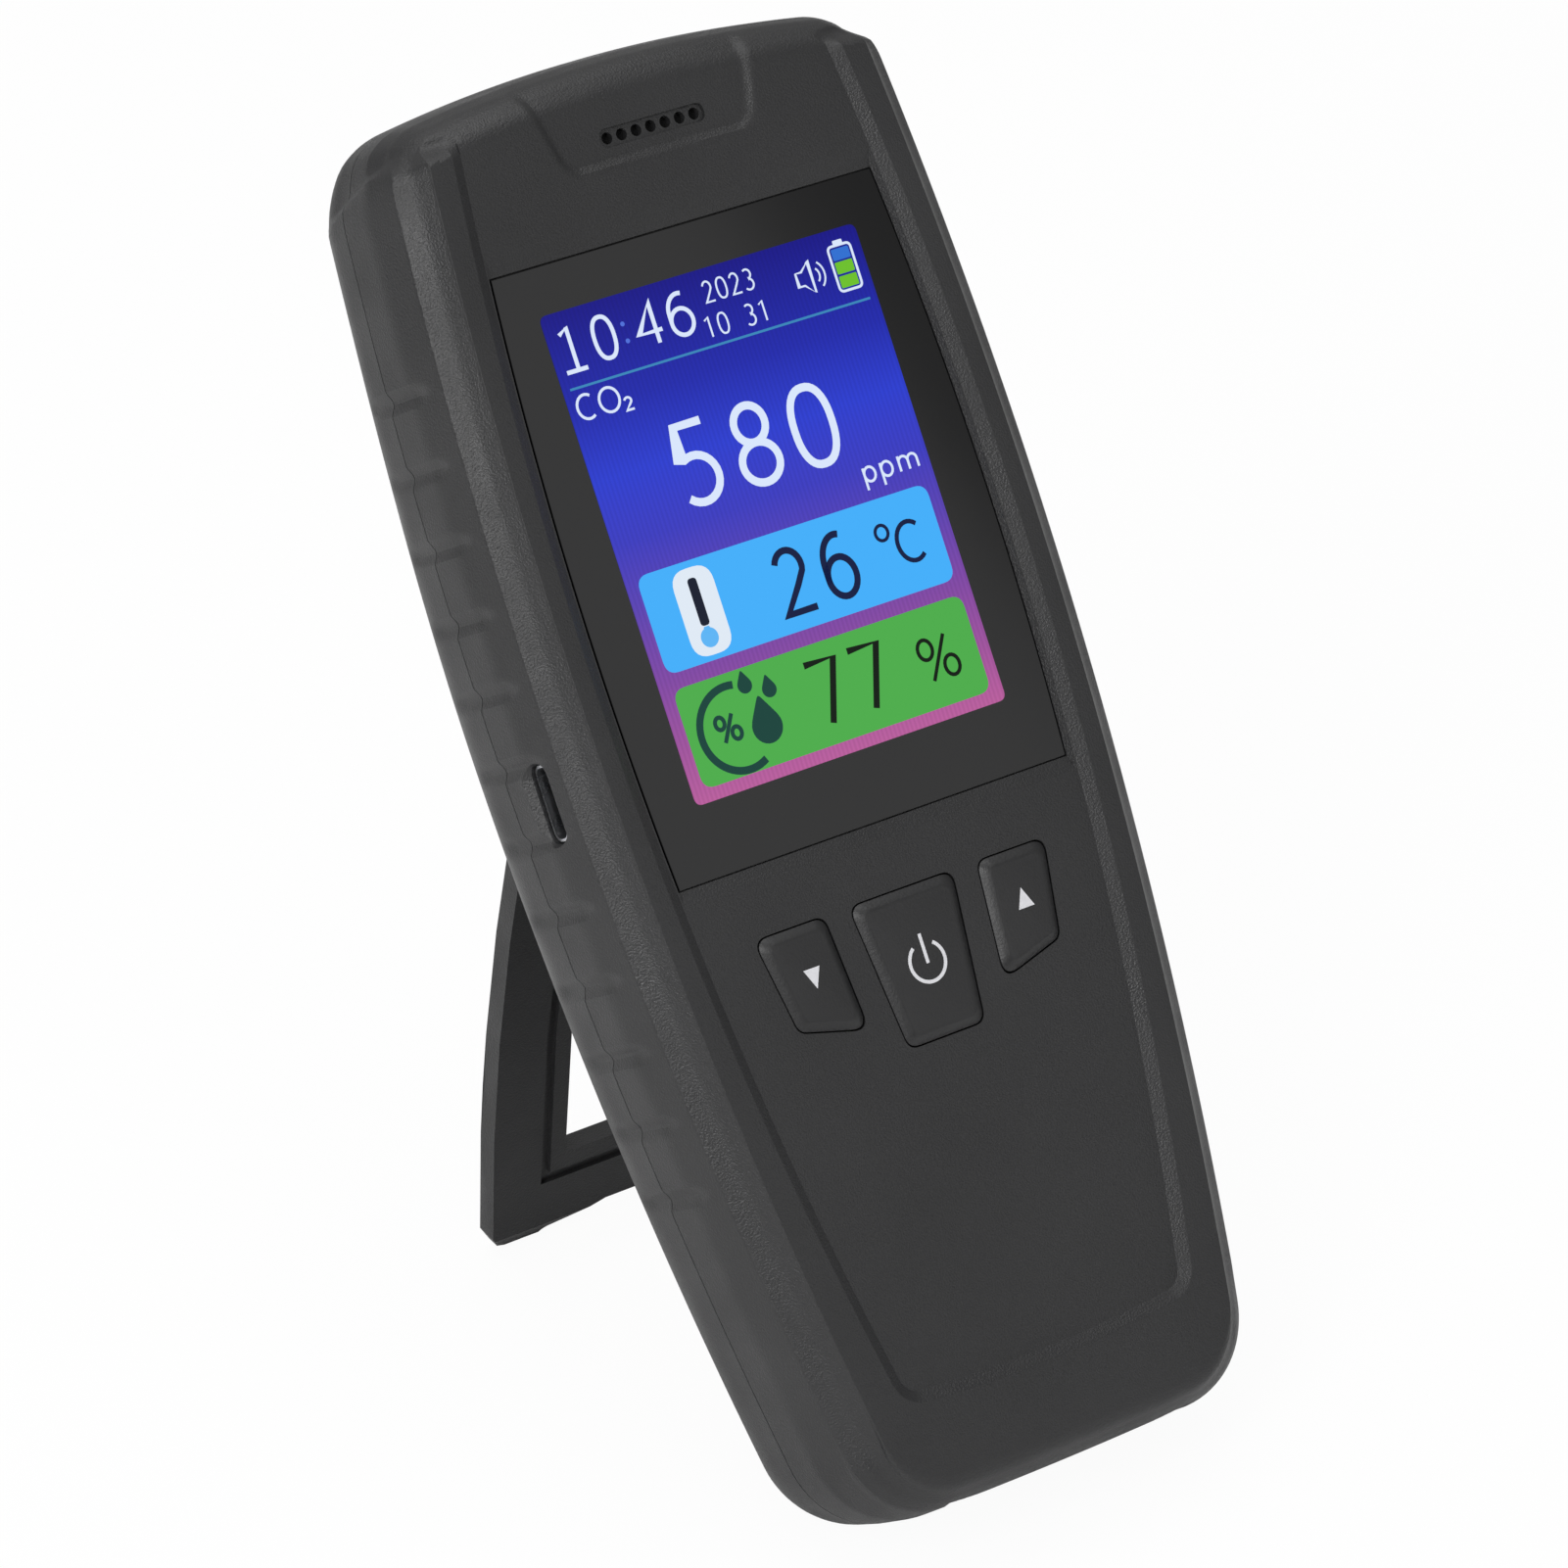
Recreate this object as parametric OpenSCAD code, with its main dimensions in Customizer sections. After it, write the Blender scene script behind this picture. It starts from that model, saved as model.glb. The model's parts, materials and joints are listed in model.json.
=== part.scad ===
// Hand-held carbon dioxide monitor standing on its rear kickstand.
//
// Every piece is laid out in the instrument's own axes: x across, y from the face to the back,
// z up along the body, with the origin at the centre of the display. standing() then leans the
// instrument back until its feet and the kickstand's feet share one floor, with the origin at the
// bottom centre of the whole part.

/* [Body] */
// Greatest width of the body
body_w = 75; // [66:0.5:86]
// Height of the body above the centre of the display
body_top = 56.3; // [50:0.5:70]
// Depth of the body below the centre of the display
body_bottom = 114.4; // [100:0.5:135]
// Depth of the back below the display plane
back_y = 25; // [23:0.5:32]
// Depth of the parting line between the two shells
seam_y = 11.5; // [10:0.25:13]
// Thickness of the moulded walls
wall = 1.8; // [1.5:0.1:2.2]
// Rounding of the rear edge
rear_round = 10; // [6:0.5:11]
// Radius of the long curved sides
side_r = 600; // [450:10:900]
// Height of the widest place, measured from the display centre
widest_z = -8; // [-20:1:5]
// Radius of the crest
crest_r = 180; // [140:5:260]
// Corner radius at the top
top_corner_r = 11; // [8:0.5:14]
// Corner radius at the bottom
bottom_corner_r = 12; // [8:0.5:14]

/* [Face] */
// How far the raised rim stands in front of the display plane
rim_rise = 2.1; // [1.8:0.05:2.6]
// How far the face panels stand in front of the display plane
face_rise = 1.25; // [1.1:0.05:1.5]
// How far the lens stands in front of the display plane
lens_rise = 0.6; // [0.5:0.05:0.8]
// Distance from the body's side to the outer edge of the rim
rim_inset = 5.1; // [4.5:0.1:6]
// Depth of the side ridge behind the display plane
ridge_y = 1.4; // [1:0.1:2.5]
// Distance from the body's side to the side ridge
ridge_inset = 1.75; // [1.2:0.05:2.4]
// Half width of the face at its widest
face_half_w = 28.6; // [26:0.1:31]
// Radius of the face's curved sides
face_side_r = 455; // [380:5:700]
// Depth of the face panel's lower edge below the display centre
face_bottom = 100.2; // [90:0.5:112]

/* [Window] */
// Lens top above the display centre
lens_top = 34.3; // [33:0.1:38]
// Lens bottom below the display centre
lens_bottom = 37.15; // [36:0.1:39]
// Lens thickness
lens_t = 0.8; // [0.6:0.05:1]
// Width of the display panel
panel_w = 50; // [47:0.1:50.5]
// Height of the display panel
panel_h = 69.2; // [66:0.1:69.5]

/* [Air vent] */
// Number of vent holes
vent_count = 7; // [5:1:9]
// Diameter of a vent hole
vent_d = 1.4; // [1:0.1:1.8]
// Spacing of the vent holes
vent_pitch = 1.97; // [1.9:0.01:2.2]
// Height of the vent above the display centre
vent_z = 45.95; // [44:0.05:48]

/* [Buttons] */
// How far the button tops stand in front of the display plane
button_rise = 2.1; // [1.6:0.05:2.4]
// Travel of a button
button_travel = 0.3; // [0.2:0.05:0.4]
// Gap round a button
button_gap = 0.15; // [0.1:0.05:0.25]
// Top of the button row below the display centre
button_top = 45.1; // [44:0.1:48]

/* [Grip] */
// Number of grip grooves on each side
grip_count = 12; // [8:1:13]
// Spacing of the grip grooves
grip_pitch = 8.66; // [7.5:0.01:9]
// Height of the first grip groove above the display centre
grip_top = 24.7; // [20:0.1:30]
// Radius of the grip groove's section
grip_r = 1.6; // [1.2:0.1:2]
// Depth of a grip groove
grip_depth = 0.6; // [0.4:0.05:0.8]

/* [USB socket] */
// Height of the socket below the display centre
usb_z = 23.4; // [20:0.1:30]
// Depth of the socket's centre behind the display plane
usb_y = 5.5; // [5.3:0.1:5.7]

/* [Kickstand] */
// Angle that the kickstand opens to
stand_angle = 36.4; // [28:0.2:42]
// Length from the pivot to the foot
stand_len = 85.4; // [75:0.1:88]
// Greatest half width of the kickstand
stand_half_w = 27.5; // [24:0.1:28]
// Thickness of the kickstand
stand_t = 3; // [2.6:0.1:3.2]
// Width of the kickstand's arms
stand_arm_w = 10.4; // [8:0.1:12]
// Height of the pivot, measured from the display centre
pivot_z = -6.6; // [-12:0.1:0]
// Radius of the steel pivot pins
pin_r = 0.8; // [0.7:0.05:0.9]
// Radial running clearance of the pivot pins
pin_clear = 0.05; // [0.02:0.01:0.09]

/* [Inside] */
// Depth of the circuit board's front behind the display plane
board_y = 7.1; // [6.9:0.1:7.3]
// Thickness of the circuit board
board_t = 1.6; // [1:0.1:1.6]
// Battery cell width
cell_w = 36; // [30:0.5:40]
// Battery cell height
cell_h = 52; // [40:0.5:56]
// Battery cell thickness
cell_t = 6.5; // [4:0.1:8]

/* [Hidden] */

// A hair that cuts reach past a surface, and the thickness of a hull's slabs.
cut = 1;
slab = 0.01;
// Gap between pieces that are laid against each other.
touch = 0.05;

// Colours
plastic = "#3b3b3b";
plastic_dark = "#2b2b2b";
lens_black = "#0b0c0e";
board_green = "#1d5c38";
steel = "#b9bcc0";

// ---- Outlines in the x-z plane --------------------------------------------------------------

foot_flat_r = 700;
outline_steps = 5;

// The centre of a fillet of radius r inside two circles, on the +x side. Circle a is centred on
// the z axis at height az with radius ar; circle b is centred at [bx, bz] with radius br.
function fillet_centre(az, ar, bx, bz, br, r) =
    let (d = [bx, bz - az], l = norm(d), u = d / l)
    let (ra = ar - r, rb = br - r)
    let (along = (ra * ra - rb * rb + l * l) / (2 * l))
    let (across = sqrt(max(ra * ra - along * along, 0)))
    let (p = [0, az] + u * along, n = [-u[1], u[0]] * across)
    (p + n)[0] > (p - n)[0] ? p + n : p - n;

function bearing(from, to) = atan2(to[1] - from[1], to[0] - from[0]);

function arc(centre, r, a0, a1, steps) =
    [for (i = [0 : steps]) let (a = a0 + (a1 - a0) * i / steps) centre + r * [cos(a), sin(a)]];

// Right half of a rounded outline, bottom to top: a bottom arc, a corner, a long side arc, a
// corner and a top arc, each meeting the next smoothly.
function half_outline(half_w, side, z_wide, bottom, bottom_r, top, top_r, r_low, r_high) =
    let (bc = [0, bottom + bottom_r], tc = [0, top - top_r], sc = [half_w - side, z_wide])
    let (low = fillet_centre(bc[1], bottom_r, sc[0], sc[1], side, r_low))
    let (high = fillet_centre(tc[1], top_r, sc[0], sc[1], side, r_high))
    let (a1 = bearing(bc, low), a2 = bearing(sc, low), a3 = bearing(sc, high), a4 = bearing(tc, high))
    concat(
        arc(bc, bottom_r, -90, a1, 3),
        arc(low, r_low, a1, a2, outline_steps + 2),
        arc(sc, side, a2, a3, 2 * outline_steps),
        arc(high, r_high, a3, a4, outline_steps + 2),
        arc(tc, top_r, a4, 90, 3)
    );

// Both halves of an outline, with no point twice.
function mirrored(half) =
    let (n = len(half))
    let (kept = [for (i = [0 : n - 1]) if (i == 0 || norm(half[i] - half[i - 1]) > 0.001) half[i]])
    concat(kept, [for (i = [len(kept) - 2 : -1 : 1]) [-kept[i][0], kept[i][1]]]);

// The body's outline, drawn in by inset at the sides and crest, and by a share of it at the
// bottom: the front is drawn in less there, the rear all the same.
front_share = 0.63;
function body_outline(inset, share = 1) =
    mirrored(half_outline(
        body_w / 2 - inset, side_r - inset, widest_z,
        -body_bottom + inset * share, foot_flat_r,
        body_top - inset, crest_r - inset,
        max(bottom_corner_r - inset * share, 3), max(top_corner_r - inset / 2, 3)));

function side_at(z, inset) = body_w / 2 - inset - pow(z - widest_z, 2) / (2 * side_r);
function face_side_at(z, inset) = face_half_w - inset - pow(z - widest_z, 2) / (2 * face_side_r);

// The face's outline, open at the top: it runs past the crest there.
face_open_top = 80;
face_bottom_r = 190;
function face_outline(inset, corner) =
    mirrored(half_outline(
        face_half_w - inset, face_side_r, widest_z,
        -face_bottom + inset, face_bottom_r,
        face_open_top, crest_r, corner, 3));

// A polygon with each corner rounded by the radius r.
function rounded(points, r, steps = 4) =
    let (n = len(points))
    [for (i = [0 : n - 1])
        let (p = points[i], a = points[(i + n - 1) % n], b = points[(i + 1) % n])
        let (ua = (a - p) / norm(a - p), ub = (b - p) / norm(b - p))
        let (half = acos(max(min(ua * ub, 1), -1)) / 2)
        let (c = p + (ua + ub) / norm(ua + ub) * r / sin(half))
        let (t0 = p + ua * r / tan(half) - c, t1 = p + ub * r / tan(half) - c)
        let (a0 = atan2(t0[1], t0[0]), turn = (atan2(t1[1], t1[0]) - a0 + 540) % 360 - 180)
        for (k = [0 : steps]) c + r * [cos(a0 + turn * k / steps), sin(a0 + turn * k / steps)]];

function box_points(w, bottom, top) = [[-w, bottom], [w, bottom], [w, top], [-w, top]];
// A box round [y, z], drawn in y and z from its half sizes.
function slot_points(y, half_y, z, half_z) =
    [[y - half_y, z - half_z], [y + half_y, z - half_z], [y + half_y, z + half_z], [y - half_y, z + half_z]];

// A right-hand run of points and its mirror image, as one outline.
function both_sides(half) = concat(half, [for (i = [len(half) - 1 : -1 : 0]) [-half[i][0], half[i][1]]]);

// ---- Placing ---------------------------------------------------------------------------------

// Raises an outline drawn in x and z from depth y0 to depth y1.
module plate(points, y0, y1)
    translate([0, y1, 0]) rotate([90, 0, 0]) linear_extrude(y1 - y0) polygon(points);

// A hair-thin plate for the hulls.
module leaf(points, y) plate(points, y, y + slab);

// A closed skin over rings of equally many points: each ring is [y, outline], front to back.
module loft(rings) {
    n = len(rings[0][1]);
    m = len(rings);
    polyhedron(
        points = [for (ring = rings) for (p = ring[1]) [p[0], ring[0], p[1]]],
        faces = concat(
            [[for (i = [n - 1 : -1 : 0]) i]],
            [for (k = [0 : m - 2]) for (i = [0 : n - 1])
                for (t = [[0, 1, n], [1, n + 1, n]])
                    [for (j = t) k * n + (j < n ? (i + j) % n : n + (i + j - n) % n)]],
            [[for (i = [0 : n - 1]) (m - 1) * n + i]]));
}

// A round bar along y.
module bar(x, z, y0, y1, r, fn = 48)
    translate([x, y1, z]) rotate([90, 0, 0]) cylinder(h = y1 - y0, r = r, $fn = fn);

module block(x, y, z) translate([x[0], y[0], z[0]]) cube([x[1] - x[0], y[1] - y[0], z[1] - z[0]]);

// The display panel's outline, let out by grow, from depth y0 to y1.
module panel_room(y0, y1, grow)
    plate(box_points(panel_w / 2 + grow, panel_z - panel_h / 2 - grow, panel_z + panel_h / 2 + grow), y0, y1);

// Depth and inset of each ring of the front shell's outside.
front_levels = [
    [-rim_rise, rim_inset],
    [ridge_y, ridge_inset],
    [5, ridge_inset * 0.4],
    [seam_y, 0]
];
rear_steps = 6;
rear_levels = concat([[seam_y, 0]], [
    for (i = [0 : rear_steps])
        let (a = 90 * i / rear_steps)
        [back_y - rear_round + rear_round * sin(a), rear_round * (1 - cos(a))]
]);

// The feet: the rear rounding at the bottom of the body, which the long bottom arc lifts a little
// at the feet's inner ends, and the kickstand's end.
foot_gap = 17.2;
foot_land = 0.08;
foot_rise = foot_gap * foot_gap / (2 * foot_flat_r) + foot_land;
body_foot = [back_y - rear_round, -body_bottom + rear_round + foot_rise];
pivot_y = back_y - stand_t / 2 - 0.1;
heel_back = back_y - pivot_y;
heel_front = stand_t - heel_back;
stand_dir = [sin(stand_angle), -cos(stand_angle)];
stand_back = [cos(stand_angle), sin(stand_angle)];
stand_foot = [pivot_y, pivot_z] + stand_dir * stand_len + stand_back * heel_back;

// The lean puts one floor under the body's round rear edge and the kickstand's foot.
foot_span = stand_foot - body_foot;
lean = atan2(foot_span[1], foot_span[0]) + asin(rear_round / norm(foot_span));

// Flat lands, cut this deep into the feet where they meet the floor.
rest_land = 0.15;
floor_drop = body_foot[0] * sin(lean) - body_foot[1] * cos(lean) + rear_round - rest_land;
y_front = min([for (l = front_levels)
    l[0] * cos(lean) + (-body_bottom + l[1] * front_share) * sin(lean)]);
y_rear = max([for (l = rear_levels) l[0] * cos(lean) + (body_top - l[1]) * sin(lean)]);

module standing()
    translate([0, -(y_front + y_rear) / 2, floor_drop]) rotate([-lean, 0, 0]) children();

// The same, with whatever reaches under the floor cut off.
floor_size = 400;
module standing_on_floor()
    difference() {
        standing() children();
        translate([-floor_size / 2, -floor_size / 2, -floor_size])
            cube([floor_size, floor_size, floor_size]);
    }

// ---- Shells ----------------------------------------------------------------------------------

// Screws: [x, z] of the four housing screws and the four board screws.
screw_x = [body_w / 2 - 10.5, body_w / 2 - 20];
screw_z = [body_top - 13.3, -body_bottom + 12.4];
housing_screws_at = [for (i = [0, 1]) for (s = [-1, 1]) [s * screw_x[i], screw_z[i]]];
board_screws_at = [[-28.2, 24], [28.2, 24], [-26, -62], [26, -62]];
boss_r = 3.2;
screw_r = 1.25;
screw_head_r = 2.3;
screw_head_t = 1.6;
screw_seat_y = back_y - 4;
boss_end_y = seam_y + 1.5;
board_screw_r = 1;
post_r = 2.2;

// Feet: the floor of the body between them is hollowed by an arc, and stands clear of the floor.
foot_clear = 0.8;
foot_hollow_r = 150;
foot_hollow_top = body_bottom - 0.3;

// Face wall and the seat of the lens.
face_back_y = 0.8;
lens_back_y = lens_t - lens_rise;
adhesive_t = 0.15;
seat_y = lens_back_y + adhesive_t;
seat_back_y = seat_y + 1.25;
ledge_w = 3;
lens_side_inset = 0.7;
lens_clear = 0.15;
lens_slope_low = 2;
lens_slope_high = 2.6;
// Clearance round the display panel in its opening.
panel_clear = 0.3;
rim_slope = 1.5;
face_corner = 2.5;
panel_z = (lens_top - lens_bottom) / 2;

function lens_points(gap) =
    let (z0 = -lens_bottom + gap, z1 = lens_top - gap, n = 2 * outline_steps)
    both_sides([for (i = [0 : n])
        let (z = z0 + (z1 - z0) * i / n)
        [face_side_at(z, lens_side_inset + gap), z]]);

// Buttons, drawn by their gap outlines: the middle one tapers, the outer pair mirror each other.
button_corner = 1.6;
power_points = [
    [-5.4, -button_top - 17.8], [5.4, -button_top - 17.8], [7.35, -button_top], [-7.35, -button_top]];
up_points = [
    [9.4, -button_top - 14.1], [18.4, -button_top - 11.7], [20.4, -button_top], [10.6, -button_top]];
down_points = [for (i = [3 : -1 : 0]) [-up_points[i][0], up_points[i][1]]];
button_flange = 1.1;
button_flange_t = 0.8;
flange_y = face_back_y + touch;

function centre_of(points) =
    [for (k = [0, 1]) (points[0][k] + points[1][k] + points[2][k] + points[3][k]) / 4];

// A polygon drawn in towards its centre by about gap on every side.
function drawn_in(points, gap) =
    let (c = centre_of(points))
    [for (p = points) p - [sign(p[0] - c[0]), sign(p[1] - c[1])] * gap];

module shell_features_cut() {
    // grip grooves
    for (i = [0 : grip_count - 1], s = [-1, 1])
        let (z = grip_top - i * grip_pitch)
        bar(s * (side_at(z, 0) + grip_r - grip_depth), z, 3, back_y - rear_round + 4, grip_r, 24);
    // hollow between the feet
    translate([0, back_y + cut, 0]) rotate([90, 0, 0]) linear_extrude(back_y + rim_rise + 2 * cut)
        difference() {
            polygon(box_points(foot_gap, -body_bottom - 3, -body_bottom + 3));
            translate([0, foot_hollow_r - foot_hollow_top]) circle(r = foot_hollow_r, $fn = 180);
        }
}

hood_depth = 0.5;
hood_wall = 1.2;
hood_points = [[-13.2, 42.4], [13.2, 42.4], [15.6, 54], [15.6, 70], [-15.6, 70], [-15.6, 54]];
hood_floor_points = [for (p = hood_points) p - [sign(p[0]) * hood_wall, p[1] < 50 ? -hood_wall : 0]];
vent_slot_half = 7.1;
vent_slot_t = 0.5;
vent_slot_r = 1.1;

module front_shell() color(plastic) standing_on_floor() front_shell_solid();

module front_shell_solid() {
    difference() {
        loft([for (l = front_levels) [l[0], body_outline(l[1], front_share)]]);
        // inside
        loft([
            [face_back_y, body_outline(rim_inset + 2.5, front_share)],
            [ridge_y + 2, body_outline(ridge_inset + wall + 0.6, front_share)],
            [seam_y + slab, body_outline(wall)]
        ]);
        // face inside the raised rim
        hull() {
            leaf(face_outline(-rim_slope * 1.15, 4), -rim_rise - slab * 2);
            leaf(face_outline(0, face_corner), -face_rise - slab);
        }
        // slopes down to the lens
        hull() {
            leaf(box_points(face_side_at(-lens_bottom, -lens_clear), -lens_bottom - lens_slope_low,
                lens_top + lens_slope_high), -face_rise - slab);
            leaf(lens_points(-lens_clear / 2), -lens_rise - slab);
        }
        plate(lens_points(-lens_clear), -rim_rise, seat_y);
        panel_room(-rim_rise, seat_back_y + cut, panel_clear);
        // hood recess, vent slot and vent holes
        hull() {
            leaf(rounded(hood_points, 2.5), -face_rise - slab * 2);
            leaf(rounded(hood_floor_points, 2), -face_rise + hood_depth - slab);
        }
        plate(rounded(box_points(vent_slot_half, vent_z - vent_slot_r, vent_z + vent_slot_r),
            vent_slot_r - touch), -rim_rise, -face_rise + hood_depth + vent_slot_t);
        for (i = [0 : vent_count - 1])
            bar((i - (vent_count - 1) / 2) * vent_pitch, vent_z, -rim_rise, face_back_y + cut,
                vent_d / 2, 24);
        // button holes
        for (points = [power_points, up_points, down_points])
            plate(rounded(points, button_corner), -rim_rise - cut, face_back_y + cut);
        usb_cut();
        shell_features_cut();
    }
    // ledge that carries the lens
    difference() {
        panel_room(seat_y, seat_back_y, ledge_w);
        panel_room(seat_y - cut, seat_back_y + cut, panel_clear);
    }
    // screw bosses and board posts
    for (p = housing_screws_at) difference() {
        bar(p[0], p[1], face_back_y - slab, boss_end_y, boss_r);
        bar(p[0], p[1], boss_end_y - 8, boss_end_y + cut, screw_r - 0.02);
    }
    for (p = board_screws_at) difference() {
        bar(p[0], p[1], face_back_y - slab, board_y, post_r);
        bar(p[0], p[1], board_y - 5, board_y + cut, board_screw_r - 0.02);
    }
}

usb_w = 9.4;
usb_h = 3.7;
usb_lip = 0.5;
function usb_points(grow) = rounded(
    slot_points(usb_y, usb_h / 2 + grow, -usb_z, usb_w / 2 + grow), usb_h / 2 + grow - touch, 6);

// Extrudes an outline drawn in y and z from x0 to x1.
module side_plate(points, x0, x1)
    translate([x0, 0, 0]) rotate([90, 0, 90]) linear_extrude(x1 - x0) polygon(points);

module usb_cut() {
    mouth = side_at(-usb_z, ridge_inset * 0.4);
    side_plate(usb_points(0), -mouth - 3, -mouth + 4);
    hull() {
        side_plate(usb_points(usb_lip), -mouth - cut, -mouth - cut + slab);
        side_plate(usb_points(0), -mouth + usb_lip, -mouth + usb_lip + slab);
    }
}

// Kickstand outlines in x and s, where s runs from the pivot to the foot.
stand_side_r = 312;
stand_wide_s = 72;
stand_open_s = [16, 73.1];
stand_arch = 3.1;
heel = 4;
function stand_half(s, inset) = stand_half_w - inset - pow(s - stand_wide_s, 2) / (2 * stand_side_r);
function stand_run(s0, s1, inset, n) =
    [for (i = [0 : n]) let (s = s0 + (s1 - s0) * i / n) [stand_half(s, inset), s]];

function stand_outer(grow) = both_sides(concat(
    stand_run(-heel - grow, stand_len - 3, -grow, 12),
    [[stand_half(stand_len, 1.2 - grow), stand_len - 0.9],
     [stand_half(stand_len, 3 - grow), stand_len + grow]]));
function stand_inner(shrink) = rounded(both_sides(
    stand_run(stand_open_s[0] + shrink, stand_open_s[1] - shrink, stand_arm_w + shrink, 6)), 0.4, 2);

// From kickstand outlines to the folded place on the back.
function folded(points) = [for (p = points) [p[0], pivot_z - p[1]]];

pocket_gap = 0.4;
pocket_y = back_y - stand_t - pocket_gap;
inner_back_y = pocket_y - wall;
// The heel's front face rests on this slope when the kickstand is open.
heel_pad = heel_front + touch;
function opened(s, n) = [pivot_y, pivot_z] + stand_dir * s + stand_back * n;
heel_wall = 2.2;
pin_web = 3;
pin_in = stand_half(0, 0) - 4;
pin_out = stand_half(0, 0) + 4.4;
lip_h = 1;
lip_gap = 0.35;
lip_t = 0.85;
// Finger notch under the end of the folded kickstand.
notch_r = 9;
notch_w = 18;
notch_depth = 2;

module rear_outside() loft([for (l = rear_levels) [l[0], body_outline(l[1])]]);

module lip_ring(inset, y) difference() {
    plate(body_outline(inset), y, seam_y + lip_h);
    plate(body_outline(wall + lip_gap + lip_t), y - cut, seam_y + lip_h + cut);
}

module rear_shell() color(plastic) difference() {
    standing_on_floor() rear_shell_solid();
    block([-foot_gap, foot_gap], [-floor_size / 2, floor_size / 2], [-cut, foot_clear]);
}

module rear_shell_solid() {
    difference() {
        union() {
            difference() {
                rear_outside();
                loft([
                    [seam_y - cut, body_outline(wall)],
                    [back_y - rear_round, body_outline(wall)],
                    [back_y - rear_round * 0.5, body_outline(wall + rear_round * 0.13)],
                    [back_y - wall, body_outline(wall + rear_round * 0.5)]
                ]);
            }
            intersection() {
                rear_outside();
                union() {
                    // tray that the kickstand folds into, and the housing of its pins and heel
                    plate(folded(stand_outer(pocket_gap + wall)), inner_back_y, back_y - wall / 2);
                    block([-pin_out - 1, pin_out + 1], [inner_back_y - heel_wall, back_y - wall / 2],
                        [pivot_z - pin_web, pivot_z + heel + pin_web]);
                    for (p = housing_screws_at) bar(p[0], p[1], boss_end_y, back_y - wall / 2, boss_r);
                }
            }
            // lip that keys into the front shell, and the shoulder that carries it
            lip_ring(wall + lip_gap, seam_y - lip_h);
            lip_ring(wall - 0.3, seam_y);
        }
        // pocket that the kickstand folds into, with an island inside its frame
        difference() {
            plate(folded(stand_outer(pocket_gap)), pocket_y, back_y + cut);
            plate(folded(stand_inner(pocket_gap)), pocket_y - cut, back_y + 2 * cut);
        }
        // hollow behind the island
        plate(folded(stand_inner(pocket_gap + wall)), inner_back_y - cut, back_y - wall);
        // sloped pocket for the heel
        side_plate([opened(0.6, -heel_pad), opened(-heel - 0.3, -heel_pad), opened(-heel - 0.3, heel_back),
                [back_y, pivot_z + heel + pocket_gap], [back_y, pivot_z]],
            -stand_half(0, 0) - pocket_gap + 0.6, stand_half(0, 0) + pocket_gap - 0.6);
        // finger notch below the kickstand's end
        translate([0, back_y + notch_r - notch_depth, pivot_z - stand_len - 0.5]) rotate([0, 90, 0])
            cylinder(h = notch_w, r = notch_r, center = true, $fn = 48);
        // pivot pin holes
        for (s = [-1, 1]) translate([s * (pin_in + pin_out) / 2, pivot_y, pivot_z]) rotate([0, 90, 0])
            cylinder(h = pin_out - pin_in, r = pin_r, center = true, $fn = 32);
        for (p = housing_screws_at) {
            bar(p[0], p[1], 0, back_y + cut, screw_r + 0.15);
            bar(p[0], p[1], screw_seat_y, back_y + cut, screw_head_r + 0.3);
        }
        rear_vents();
        shell_features_cut();
    }
}

// Air slots in the upper back, over the sensor.
rear_vent_count = 5;
module rear_vents()
    for (i = [0 : rear_vent_count - 1])
        let (z = body_top - 17 - i * 4.4)
        plate(rounded(box_points(9, z - 0.8, z + 0.8), 0.75), back_y - wall - cut, back_y + cut);

// ---- Face pieces -----------------------------------------------------------------------------

module screen_lens() color(lens_black) standing() plate(lens_points(0), -lens_rise, lens_back_y);

module lens_adhesive() color("#202020") standing() difference() {
    plate(lens_points(0.4), lens_back_y, seat_y);
    panel_room(lens_back_y - cut, seat_y + cut, panel_clear + 0.2);
}

panel_y = lens_back_y + touch;
panel_t = 1;
tray_t = 1.5;
tray_rim = 2;
tray_floor = 0.4;
tray_y = panel_y + panel_t;
module lcd_panel() color("#2747c8") standing()
    panel_room(panel_y, tray_y, 0);

module lcd_backlight_frame() color("#d8dade") standing() difference() {
    panel_room(tray_y, tray_y + tray_t, 0);
    panel_room(tray_y + tray_t - tray_floor, tray_y + tray_t + cut, -tray_rim);
}

// The flex leaves the panel's lower edge and turns back to its connector on the board.
flex_w = 18;
flex_t = 0.2;
flex_gap_y = (tray_y + tray_t + board_y - 1.2) / 2;
flex_z = panel_z - panel_h / 2;
flex_y = seat_back_y + 0.3;
flex_loop = 1.4;
module lcd_flex() color("#b5651d") standing()
    translate([-flex_w / 2, 0, 0]) rotate([90, 0, 90]) linear_extrude(flex_w) {
        translate([flex_y, flex_z - flex_loop]) square([flex_gap_y - flex_y, flex_t]);
        translate([flex_y, flex_z - flex_loop]) square([flex_t, flex_loop]);
        translate([flex_gap_y, flex_z - flex_loop]) square([flex_t, flex_loop + 7]);
    }

module fpc_connector() color("#e9e4d4") standing() difference() {
    block([-flex_w / 2 - 1.5, flex_w / 2 + 1.5], [flex_gap_y - 0.5, board_y], [flex_z + 4.6, flex_z + 9]);
    block([-flex_w / 2 - 0.1, flex_w / 2 + 0.1], [flex_gap_y - touch, flex_gap_y + flex_t + touch],
        [flex_z + 4, flex_z + 7.2]);
}

module vent_dust_mesh() color("#101010") standing()
    plate(rounded(box_points(8.4, vent_z - 2.2, vent_z + 2.2), 1), face_back_y, face_back_y + 0.2);

// ---- Buttons ---------------------------------------------------------------------------------

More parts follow.
